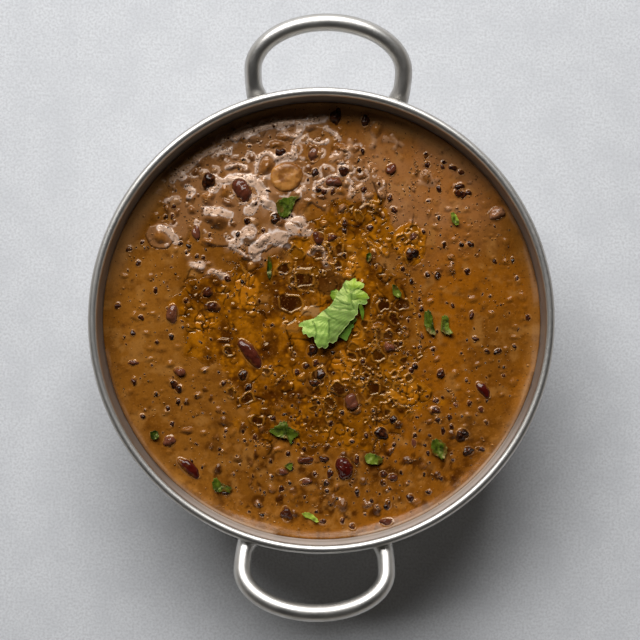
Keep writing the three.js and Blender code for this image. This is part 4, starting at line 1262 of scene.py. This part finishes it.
def make_collars(name, rings, sauce, pale):
    """Sauce drawn up round wet things: from their sides down to the surface."""
    n = COLLAR_SIDES
    around = np.linspace(0, 2 * np.pi, n, endpoint=False)
    steps = (-0.25, 0.0, 0.16, 0.36, 0.62, 0.95)
    parts, rises = [], []
    faces = [(r * n + k, r * n + n + k, r * n + n + (k + 1) % n, r * n + (k + 1) % n)
             for r in range(len(steps) - 1) for k in range(n)]
    for x, y, half_length, half_width, angle, climb in rings:
        rows = []
        for step in steps:
            a = (half_length + step) * np.cos(around)
            b = (half_width + step) * np.sin(around)
            rows.append(np.stack(turn(a, b, math.radians(angle)), axis=1) + (x, y))
            rise = climb * math.exp(-max(0, step + 0.05) / 0.3) - 0.04 * (step > 0.9)
            rises.append(np.full(n, rise - 0.35 * (step < 0)))
        parts.append((np.concatenate(rows), faces))
    flat, faces = gather(parts)
    x, y = flat[:, 0], flat[:, 1]
    height, colour = relief(x, y)
    points = np.column_stack([flat, dal_level(x, y) + height + np.concatenate(rises)])
    # A pale ring on the rise round each thing: partly paler sauce, partly a painted highlight of
    # the wet rise.
    paleness = np.repeat([1.0, 1.0, 0.8, 0.4, 0.1, 0.0], n)  # one for each step
    light = pale * np.tile(paleness, len(rings))[:, None]
    colour = colour * (1 - light) + np.array(linear(182, 130, 72)) * light
    build(name, points, faces, sauce, {"tint": colour, "ghee": ghee_zone(x, y)})


def skin_material(name, tint, mottle, coat):
    """Wet bean skin, sauce-coloured where it goes under."""
    base, shader = material(name, tint)
    tree = base.node_tree
    where = place(tree)
    own = attribute(tree, "tint").outputs["Color"]
    cover = attribute(tree, "cover").outputs["Fac"]
    mottled = mix(tree, span(tree, grain(tree, where, 1.6, 3.0), 0.4, 0.75, 0.0, 0.6), own,
                  mottle)
    set_inputs(tree, shader, {
        "Base Color": mix(tree, cover, linear(112, 66, 18), mottled), "Roughness": 0.3,
        "Specular IOR Level": 0.1, "Specular Tint": (1.0, 0.74, 0.54), "Coat Weight": coat,
        "Coat Roughness": 0.06, "Normal": bump(tree, grain(tree, where, 1.3, 3.0), 0.16)})
    return base


def make_beans(skin, sauce):
    ball, ball_faces = sphere(40, 24)
    rng = np.random.default_rng(9)
    rings = []
    for i, (x, y, length, width, angle) in enumerate(BEANS):
        along, across, up = ball[:, 0], ball[:, 1], ball[:, 2]
        bend = 0.16 * width * (0.5 - along**2)
        shape = np.stack([along * length / 2, across * width / 2 + bend, up * width * 0.44], axis=1)
        wrinkle = fractal(shape[:, 0] + 9 * i, shape[:, 1], 2.4, 40, 2)
        shape *= (1 + 0.13 * wrinkle * np.hypot(across, up))[:, None]
        shape[:, 2] -= 0.12 * np.exp(-((across * width / 2 - 0.5 * bend) / 0.5) ** 2) * (up > 0)
        shape[:, :2] = np.stack(turn(shape[:, 0], shape[:, 1], math.radians(angle)), axis=1)
        centre = np.array([x, y, level_at(x, y) - 0.06 * width])
        pale = BEAN_PALENESS[i]
        tint = (1 - pale) * np.array(linear(68, 14, 8)) + pale * np.array(linear(170, 118, 82))
        patchy = 0.5 * noise(shape[:, 0] + 5 * i, shape[:, 1], 2.2, 45)
        sunk = 0.25 if i in SUNK_BEANS else 0.0
        cover = smoothstep(0.05, 0.5, shape[:, 2] / (0.44 * width) + patchy - sunk)
        piece = build(f"kidney_bean_{i + 1}_skin", shape + centre, ball_faces, skin,
                      {"tint": np.tile(tint, (len(ball), 1)), "cover": cover})
        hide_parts(f"kidney_bean_{i + 1}")
        rings.append((x, y, 0.5 * length, 0.5 * width, angle, 0.4))
    make_collars("bean_collars", rings, sauce, 0.25)


def make_onion(flesh):
    x, y, radius, height = ONION
    profile = [(0, -height / 2)]
    for degrees in np.linspace(-70, 70, 22):
        a = math.radians(degrees)
        profile.append((radius - height / 2 + height / 2 * math.cos(a), height / 2 * math.sin(a)))
    profile += [(r, height / 2) for r in (4.5, 3.5, 2.5, 1.5)]
    profile.append((0, height / 2))
    points, faces = lathe(profile, 72)
    points = np.array(points)
    bearing = np.arctan2(points[:, 1], points[:, 0])
    outline = 1 + 0.05 * np.sin(2 * bearing + 1) + 0.03 * np.sin(3 * bearing)
    outline += 0.02 * np.sin(5 * bearing)
    points[:, :2] *= outline[:, None]
    dents = 0.28 * noise(points[:, 0], points[:, 1], 3.0, 51)
    dents += 0.14 * noise(points[:, 0], points[:, 1], 1.3, 52)
    points[:, 2] += dents * (points[:, 2] > 0)
    points += np.array([x, y, level_at(x, y) - 1.2])
    piece = build("onion_slice_flesh", points, faces, flesh)
    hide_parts("onion_slice")


def onion_material():
    base, shader = material("onion_flesh", linear(136, 84, 34))
    tree = base.node_tree
    where = place(tree)
    film = mix(tree, span(tree, grain(tree, where, 5.0, 4.0, 0.5), 0.38, 0.62),
               linear(172, 116, 54), linear(122, 72, 22))
    set_inputs(tree, shader, {
        "Base Color": film, "Roughness": 0.35, "Subsurface Weight": 0.2,
        "Subsurface Radius": (0.003, 0.0015, 0.0005), "Specular Tint": (1.0, 0.85, 0.7),
        "Coat Weight": 0.1, "Coat Roughness": 0.08,
        "Normal": bump(tree, grain(tree, where, 1.4, 3.0), 0.1)})
    return base


# ------------------------------------------------------------------ coriander
LEAF_THICKNESS = 0.5
# Heights at which the photograph's pixels are read for the leaf's parts and the scraps.
BLADE_LEVEL = 54
FOLDED_LEVEL = 52
CURL_LEVEL = 53
BIT_LEVEL = 50.5
LEAF_STALK = (361, 308)  # where the middle's veins meet in the photograph
LEFT_LOBE_STALK = (331, 317)
RIGHT_LOBE_STALK = (350, 297)
# Folds across the blade, painted dark as shade in them, each through places in the photograph.
LEAF_FOLDS = [
    [(331, 306), (339, 309.5), (344.5, 309), (351.5, 310)],
    [(324, 311), (329, 316.5), (336.5, 320)], [(350.5, 290), (351.5, 297), (352, 303), (354, 309)],
    [(329, 321), (329.4, 329), (329, 337)], [(351, 293), (355, 290), (359, 289)],
    [(352, 300), (358, 299.5)], [(343.5, 286), (347, 293)], [(336, 299), (344, 304), (350, 305)],
    [(313, 322), (316, 331), (315, 340)],
]
# The blade's two edges in the photograph, in pairs from its left tip to its right tip.
BLADE_EDGES = [
    ((298.7, 324.4), (298.7, 326.6)), ((302, 322.4), (304.4, 326.5)), ((304, 321.4), (302.4, 329)),
    ((306, 320.7), (303.2, 333.2)), ((308, 320.1), (306.2, 333.8)), ((310, 319.6), (309.4, 337.2)),
    ((312, 319.1), (313.4, 335.6)), ((314.4, 318.5), (314.6, 340)), ((316.5, 317), (315.8, 343)),
    ((318.5, 315.2), (319.2, 347.6)), ((320.5, 313.2), (322, 346.4)),
    ((322.5, 311.2), (324.6, 348.2)), ((324.5, 310), (328, 346)), ((326.5, 309), (328.4, 342.4)),
    ((328.5, 307.5), (333, 341.8)), ((330.5, 305.5), (336, 340.6)), ((332, 303.4), (338.6, 335.2)),
    ((333.3, 301.4), (342.6, 330.6)), ((334.8, 299), (347.2, 324.4)),
    ((336.4, 296.2), (351.6, 319)), ((337.8, 293.8), (355.3, 315.2)),
    ((339.2, 291.4), (357.4, 310.4)), ((340.8, 289.4), (358.2, 304)),
    ((342, 287.8), (363.4, 304.4)), ((342.8, 286.4), (366.8, 303)),
    ((343.2, 285.4), (366.2, 299.6)), ((343.6, 284.2), (368, 297.2)),
    ((344.2, 283.2), (366.6, 294)), ((344.8, 282.2), (363.4, 291.2)),
    ((345.4, 281.2), (359.8, 289.8)), ((346.2, 280.4), (363.2, 286.8)),
    ((347.2, 280.4), (363.4, 284.2)), ((348.4, 281.2), (359.8, 281.6)),
    ((349.6, 281), (356.6, 281.6)), ((351, 280.3), (355.6, 278.6)), ((352.4, 278.8), (353.8, 278)),
]
TUCKED_EDGES = [
    ((338, 322), (357, 318.4)), ((337, 324), (353.4, 322.6)), ((336, 326.5), (352, 327)),
    ((335, 329), (349.8, 332)), ((334, 331), (347.2, 339.2)), ((333.4, 333), (344.6, 340)),
    ((333, 335), (342.4, 337)), ((333, 337), (338.6, 337.6)),
]
PEEK_EDGES = [
    ((341, 295), (338.4, 290.6)), ((340.6, 297), (335, 290.4)), ((340, 299), (331.4, 293)),
    ((338.6, 301), (331, 296.4)), ((337, 302.6), (333, 300)),
]
CURL_EDGES = [
    ((357, 300.6), (360.2, 300.8)), ((357.4, 305.6), (361.8, 304.6)),
    ((359.4, 309.4), (363.6, 308.4)), ((360.4, 313.4), (364.2, 312.6)),
    ((361.4, 317), (363.6, 316.8)), ((362.2, 319.6), (362.8, 319.8)),
]
# Scraps, each by its outline in the photograph.
BIT_OUTLINES = [
    [(276.1, 203.4), (281.8, 198.9), (293.2, 196.6), (300, 196.6), (295.5, 201.1), (292.7, 209),
     (288.6, 215.9), (283, 217.7), (278.4, 213.6)],
    [(268, 257), (271, 258), (272, 268), (270.6, 278), (268, 277.5), (266.8, 268)],
    [(392.3, 284.8), (396.8, 286.4), (401.4, 294.3), (398.4, 297.6), (392.3, 293.4)],
    [(424, 314), (428.6, 310), (432, 315), (433.5, 325), (435.5, 335.2), (428, 332.4),
     (424.5, 324)],
    [(441.5, 318), (445, 315.3), (448.5, 318), (449, 327), (452.7, 333), (446.8, 334.5),
     (440.8, 330)],
    [(269.3, 430.9), (273.9, 427.5), (281.8, 421.8), (286.4, 421.8), (288.6, 426.4),
     (295.5, 429.8), (299.5, 433.2), (296.6, 436.6), (293.2, 438.9), (290.9, 444.5),
     (287.5, 438.9), (281.8, 437.7), (275, 435.5)],
    [(284.1, 465.5), (292.2, 462.4), (291.2, 470), (287, 468)],
    [(212.5, 482), (215.9, 477.5), (220.5, 482), (227.3, 485.5), (231.8, 487.7), (229.5, 492.3),
     (223.9, 491.1), (218.2, 491.8), (213.6, 488.9)],
    [(302, 513.4), (307, 512), (313, 514.6), (318.6, 520.6), (316, 522), (310, 518.6),
     (304, 516.6)],
    [(364.5, 455.9), (369.5, 453.2), (377, 455), (382.9, 458.6), (379.8, 463.9), (370.7, 463.9),
     (365.5, 461.6)],
    [(432, 440), (438.9, 439.3), (445.7, 444.5), (446.9, 451.4), (443.4, 458.8), (438.5, 457),
     (433, 453.6), (431.2, 447)],
    [(450.7, 213.4), (454.8, 213.6), (459, 222.4), (456.2, 225.2), (451.6, 221)],
    [(150.5, 432), (156.8, 430.7), (158.8, 436.6), (154.5, 439.7), (150.8, 437.7)],
    [(366.4, 254.4), (370.4, 252.8), (371.4, 258), (368.6, 262), (366, 259)],
]
# How fresh and light each scrap is: 0 dark and sauced, 1 bright.
BIT_FRESHNESS = [0.08, 0.0, 0.3, 0.08, 0.28, 0.12, 0.25, 0.08, 1.15, 0.3, 0.1, 1.0, 0.0, 0.05]


def leaf_height(x, y):
    across = 0.66 * (x - 2) - 0.75 * (y - 5)
    along = 0.75 * (x - 2) + 0.66 * (y - 5)
    arch = 2.3 * np.sin(np.pi * np.clip((across + 4) / 20, 0, 1))
    raised = 1.3 * np.exp(-((x - 1) ** 2 + (y + 10) ** 2) / 30)
    lowered = 0.9 * smoothstep(8, 14, along)
    wave = 0.25 * np.sin(1.1 * along) * np.cos(0.9 * across)
    return dal_level(x, y) + 1.7 + arch + raised - lowered + wave


def resample(values, count):
    """Points along a smooth curve through values."""
    values = np.asarray(values, dtype=float)
    t = np.linspace(0, len(values) - 1, count)
    i = np.clip(np.floor(t).astype(int), 0, len(values) - 2)
    f = (t - i)[:, None]
    before = values[np.clip(i - 1, 0, None)]
    here, ahead = values[i], values[i + 1]
    beyond = values[np.clip(i + 2, None, len(values) - 1)]
    a = 2 * here
    b = ahead - before
    c = 2 * before - 5 * here + 4 * ahead - beyond
    d = -before + 3 * here - 3 * ahead + beyond
    return 0.5 * (a + b * f + c * f * f + d * f * f * f)


def sheet(edges, seen_at, steps_u, steps_v, height, frill=0.0):
    """A thin leaf between two toothed edges, both faces."""
    inner, outer = (resample([from_photo(*pair[k], seen_at) for pair in edges], steps_u + 1)
                    for k in (0, 1))
    v = np.linspace(0, 1, steps_v + 1)[None, :, None]
    u = np.linspace(0, 1, steps_u + 1)
    teeth = frill * np.abs(np.sin(u * len(edges) * 2.3)) * (0.6 + 0.4 * np.sin(u * len(edges)))
    teeth = teeth / np.maximum(3, np.linalg.norm(outer - inner, axis=1))
    spread = v + teeth[:, None, None] * (v**3 - 0.6 * (1 - v) ** 3)
    flat = inner[:, None, :] + (outer - inner)[:, None, :] * spread
    x, y = flat[..., 0], flat[..., 1]
    share = np.repeat(v[0, :, 0][None, :], steps_u + 1, axis=0)
    z = height(x, y, np.repeat(u[:, None], steps_v + 1, axis=1), share)
    low = np.stack([x, y, z], axis=-1).reshape(-1, 3)
    index = np.arange(len(low)).reshape(steps_u + 1, steps_v + 1)
    count = len(low)
    under = grid_faces(index)
    faces = np.concatenate([under, under[:, ::-1] + count]).tolist()
    rim = [*index[:, 0], *index[-1, 1:], *index[-2::-1, -1], *index[0, -2:0:-1]]
    for k, a in enumerate(rim):
        b = rim[(k + 1) % len(rim)]
        faces.append((a, b, count + b, count + a))
    edge = np.minimum(share, 1 - share).ravel()
    return np.concatenate([low, low + (0, 0, LEAF_THICKNESS)]), faces, np.tile(edge, 2)


def leaf_folds(x, y):
    """1 along the blade's folds, falling to 0 beside them, and how far it is to the nearest."""
    gap = np.full(x.shape, 9.0)
    for places in LEAF_FOLDS:
        path = resample([from_photo(*p, BLADE_LEVEL) for p in places], 12 * len(places))
        for px, py in path:
            gap = np.minimum(gap, np.hypot(x - px, y - py))
    return np.exp(-((gap / 0.42) ** 2)), gap


def leaf_veins(x, y):
    """Fine pleats that spread from each lobe's stalk, from -1 to 1."""
    px, py = to_photo(x, y, BLADE_LEVEL)
    stripes = 0
    left = smoothstep(332, 326, px)
    right = smoothstep(348, 353, px) * smoothstep(306, 300, py)
    middle = (1 - left) * (1 - right)
    for share, stalk, count in ((left, LEFT_LOBE_STALK, 26), (middle, LEAF_STALK, 52),
                                (right, RIGHT_LOBE_STALK, 20)):
        bearing = np.arctan2(py - stalk[1], px - stalk[0])
        wander = 0.5 * noise(x, y, 4, 91)
        stripes = stripes + share * np.sin(count * bearing + wander)
    return stripes


def make_leaf(leaf):
    def blade_height(x, y, u, v):
        fold, gap = leaf_folds(x, y)
        pucker = 0.12 * noise(x, y, 2.6, 61) + 0.04 * leaf_veins(x, y)
        return leaf_height(x, y) + pucker + 0.18 * (1 - np.exp(-gap / 1.6)) - 0.16 * fold

    def folded(x, y, u, v):
        top = leaf_height(x, y) - 0.15
        return top + (dal_level(x, y) + 0.9 - top) * v + 0.1 * noise(x, y, 1.6, 65)

    def curled(x, y, u, v):
        return leaf_height(x, y) - 0.15 - 1.1 * u + 0.4 * v

    deep, mid = linear(74, 112, 34), linear(134, 160, 82)
    light, yellow = linear(142, 174, 82), linear(144, 172, 52)
    parts = [(sheet(BLADE_EDGES, BLADE_LEVEL, 240, 56, blade_height, 0.7), None),
             (sheet(TUCKED_EDGES, FOLDED_LEVEL, 60, 20, folded, 0.9), linear(98, 130, 48)),
             (sheet(PEEK_EDGES, FOLDED_LEVEL, 40, 12, folded, 0.9), linear(112, 140, 36)),
             (sheet(CURL_EDGES, CURL_LEVEL, 40, 8, curled), linear(116, 144, 38))]
    colours = []
    for (points, _, edge), own in parts:
        x, y = points[:, 0], points[:, 1]
        if own:
            tint = blend(own, deep, 0.35 + 0.5 * noise(x, y, 1.5, 92))
        else:
            px, py = to_photo(x, y, BLADE_LEVEL)
            border = 328.8 + 1.6 * np.sin(0.63 * (py - 324)) - smoothstep(320, 310, py) * 6
            tint = blend(light, mid, smoothstep(-0.7, 0.7, px - border))
            shade = np.exp(-(((px - border - 0.7) / 0.6) ** 2)) * smoothstep(312, 318, py)
            tint = blend(tint, linear(96, 128, 54), 0.6 * shade)
            tint = blend(tint, yellow, smoothstep(340, 356, px) * smoothstep(304, 296, py))
            for colour, share in (
                (linear(120, 150, 72), 0.8 * smoothstep(0.0, 0.9, noise(x, y, 3.2, 93))),
                (linear(104, 138, 58), 0.4 * smoothstep(0.1, 1.0, leaf_veins(x, y))),
                # painted shade in the folds
                (linear(52, 84, 24), 0.7 * leaf_folds(x, y)[0]),
                # a painted highlight along the blade's edges
                (linear(178, 200, 118), 0.6 * smoothstep(0.05, 0.0, edge)),
            ):
                tint = blend(tint, colour, share)
        colours.append(tint)
    points, faces = gather([(p[0][0], p[0][1]) for p in parts])
    piece = build("coriander_leaf_blade", points, faces, leaf,
                  {"tint": np.concatenate(colours)})
    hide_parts("coriander_leaf")


def make_bits(leaf):
    rng = np.random.default_rng(8)
    shares = (0.0, 0.12, 0.25, 0.38, 0.5, 0.62, 0.74, 0.85, 0.93, 1.0)
    for i, outline in enumerate(BIT_OUTLINES):
        closed = outline[-2:] + outline + outline[:3]
        ring = resample([from_photo(*p, BIT_LEVEL) for p in closed], (len(closed) - 1) * 8 + 1)
        ring = ring[16:-24]
        middle = np.mean([from_photo(*p, BIT_LEVEL) for p in outline], axis=0)
        count = len(ring)
        points, edges = [], []
        phase = rng.uniform(0, 6)
        for lift in (0, LEAF_THICKNESS):
            for share in shares:
                k = np.arange(count)
                ragged = 1 + 0.06 * share**3 * np.sin(k * 2 * np.pi / 5.0 + phase)
                flat = middle + (ring - middle) * (share * ragged)[:, None]
                cup = 0.8 * share**2 * (0.6 + 0.5 * np.sin(4 * np.pi * k / count + phase))
                x, y = flat[:, 0], flat[:, 1]
                crease = 0.32 * noise(x, y, 2.2, 70 + i) + 0.12 * noise(x, y, 1.0, 71 + i)
                points.append(np.column_stack([flat, dal_level(x, y) + 0.5 + cup + crease + lift]))
                edges.append(np.full(count, share))
        layers = len(shares)
        faces = []
        for side in (0, 1):
            for r in range(layers - 1):
                base = (side * layers + r) * count
                for k in range(count):
                    n = (k + 1) % count
                    quad = (base + k, base + n, base + count + n, base + count + k)
                    faces.append(quad if side == 0 else quad[::-1])
        low, high = (layers - 1) * count, (2 * layers - 1) * count
        for k in range(count):
            n = (k + 1) % count
            faces.append((low + k, low + n, high + n, high + k))
        points, edge = np.concatenate(points), np.concatenate(edges)
        x, y = points[:, 0], points[:, 1]
        fresh = BIT_FRESHNESS[i]
        tint = blend(linear(46, 60, 0), linear(156, 176, 62), np.full(len(points), fresh))
        wet = noise(x, y, 2.4, 74 + i) + 0.8 * edge - 0.5
        for colour, share in (
            (linear(24, 32, 4), 0.85 * smoothstep(-0.1, 0.6, -noise(x, y, 1.7, 73 + i))),
            (linear(96, 112, 28), 0.5 * smoothstep(0.2, 0.8, noise(x, y, 1.3, 75 + i))),
            (linear(92, 56, 14), (0.8 - fresh) * smoothstep(0.3, 0.7, wet)),
        ):
            tint = blend(tint, colour, share)
        piece = build(f"coriander_bit_{i + 1}_leaf", points, faces, leaf,
                      {"tint": tint})
        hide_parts(f"coriander_bit_{i + 1}")


def leaf_material():
    base, shader = material("coriander", linear(122, 158, 84))
    tree = base.node_tree
    where = place(tree)
    fine = grain(tree, where, 0.7, 3.0)
    green = mix(tree, maths(tree, "MULTIPLY", span(tree, fine, 0.5, 0.75), 0.25),
                attribute(tree, "tint").outputs["Color"], linear(84, 118, 44))
    set_inputs(tree, shader, {
        "Base Color": green, "Roughness": 0.36, "Specular Tint": (1.0, 0.92, 0.4),
        "Subsurface Weight": 0.12, "Subsurface Radius": (0.0008, 0.0015, 0.0003),
        "Normal": bump(tree, fine, 0.1)})
    return base


# ------------------------------------------------------------------ floor, light and camera
def make_floor():
    base, shader = material("floor", linear(205, 206, 208))
    tree = base.node_tree
    where = place(tree)
    speckle = grain(tree, where, 1.2, 3.0)
    cloud = grain(tree, where, 16.0, 4.0)
    tone = mix(tree, span(tree, speckle, 0.3, 0.75), linear(214, 216, 219), linear(192, 193, 196))
    tone = mix(tree, maths(tree, "MULTIPLY", span(tree, cloud, 0.35, 0.7), 0.35), tone,
               linear(190, 192, 196))
    set_inputs(tree, shader, {"Base Color": tone, "Roughness": 0.85})
    mesh = bpy.data.meshes.new("floor")
    half = 3.0
    mesh.from_pydata([(-half, -half, 0), (half, -half, 0), (half, half, 0), (-half, half, 0)], [],
                     [(0, 1, 2, 3)])
    mesh.materials.append(base)
    floor = bpy.data.objects.new("floor", mesh)
    bpy.context.scene.collection.objects.link(floor)


def add_area_light(name, azimuth, elevation, distance, size, energy):
    """A soft panel facing the pan. azimuth is counter-clockwise from +X as seen from above."""
    light = bpy.data.lights.new(name, "AREA")
    light.shape = "RECTANGLE"
    light.size, light.size_y = size
    light.energy = energy
    panel = bpy.data.objects.new(name, light)
    a, e = math.radians(azimuth), math.radians(elevation)
    direction = Vector((math.cos(e) * math.cos(a), math.cos(e) * math.sin(a), math.sin(e)))
    panel.location = direction * distance
    panel.rotation_euler = direction.to_track_quat("Z", "Y").to_euler()
    bpy.context.scene.collection.objects.link(panel)


def make_world():
    world = bpy.data.worlds.new("room")
    bpy.context.scene.world = world
    world.use_nodes = True
    tree = world.node_tree
    up = node(tree, "SeparateXYZ", {0: node(tree, "TexCoord").outputs["Generated"]}).outputs[2]
    background = tree.nodes["Background"]
    background.inputs["Color"].default_value = (1.0, 0.93, 0.84, 1)
    tree.links.new(span(tree, up, 0.12, 0.36, 0.6, 0.006), background.inputs["Strength"])


def make_camera():
    data = bpy.data.cameras.new("camera")
    data.sensor_width = SENSOR
    data.lens = SENSOR * (CAMERA_HEIGHT - PAN_HEIGHT) / (PHOTO_SIZE * PHOTO_MM_PER_PIXEL)
    data.clip_start = 0.01
    camera = bpy.data.objects.new("camera", data)
    x, y = from_photo(PHOTO_SIZE / 2, PHOTO_SIZE / 2, PAN_HEIGHT)
    camera.location = (x * MM, y * MM, CAMERA_HEIGHT * MM)
    camera.rotation_euler = (0, 0, PHOTO_TURN)
    bpy.context.scene.collection.objects.link(camera)
    bpy.context.scene.camera = camera


SURFACE = Surface()
SURFACE.draw_plain()
SURFACE.draw_thick()
SURFACE.draw_flakes()
SURFACE.draw_ghee()
SURFACE.finish()
steel_round = steel_material("pan_steel", True, 0.38, 0.45)
steel_wire = steel_material("handle_steel", False, 0.36, 0.48)
sauce_look = sauce_material("dal_sauce", 0.13)
film_look = sauce_material("dal_film", 0.34)
drop_look = sauce_material("dal_drops", 0.5)
make_pan(steel_round)
for handle_name in HANDLES:
    make_handle(handle_name, steel_wire)
make_dal(sauce_look)
make_film(film_look)
make_bubbles(drop_look)
make_gram(skin_material("gram_skin", linear(40, 20, 18), linear(96, 50, 26), 0.4), drop_look)
make_beans(skin_material("bean_skin", linear(74, 22, 24), linear(44, 14, 10), 0.5), drop_look)
make_onion(onion_material())
leaf_look = leaf_material()
make_leaf(leaf_look)
make_bits(leaf_look)
make_floor()
make_camera()
make_world()
add_area_light("window", azimuth=103, elevation=44, distance=1.9, size=(1.85, 0.95), energy=55.5)

bpy.context.scene.view_settings.view_transform = "Standard"
bpy.context.scene.view_settings.look = "None"
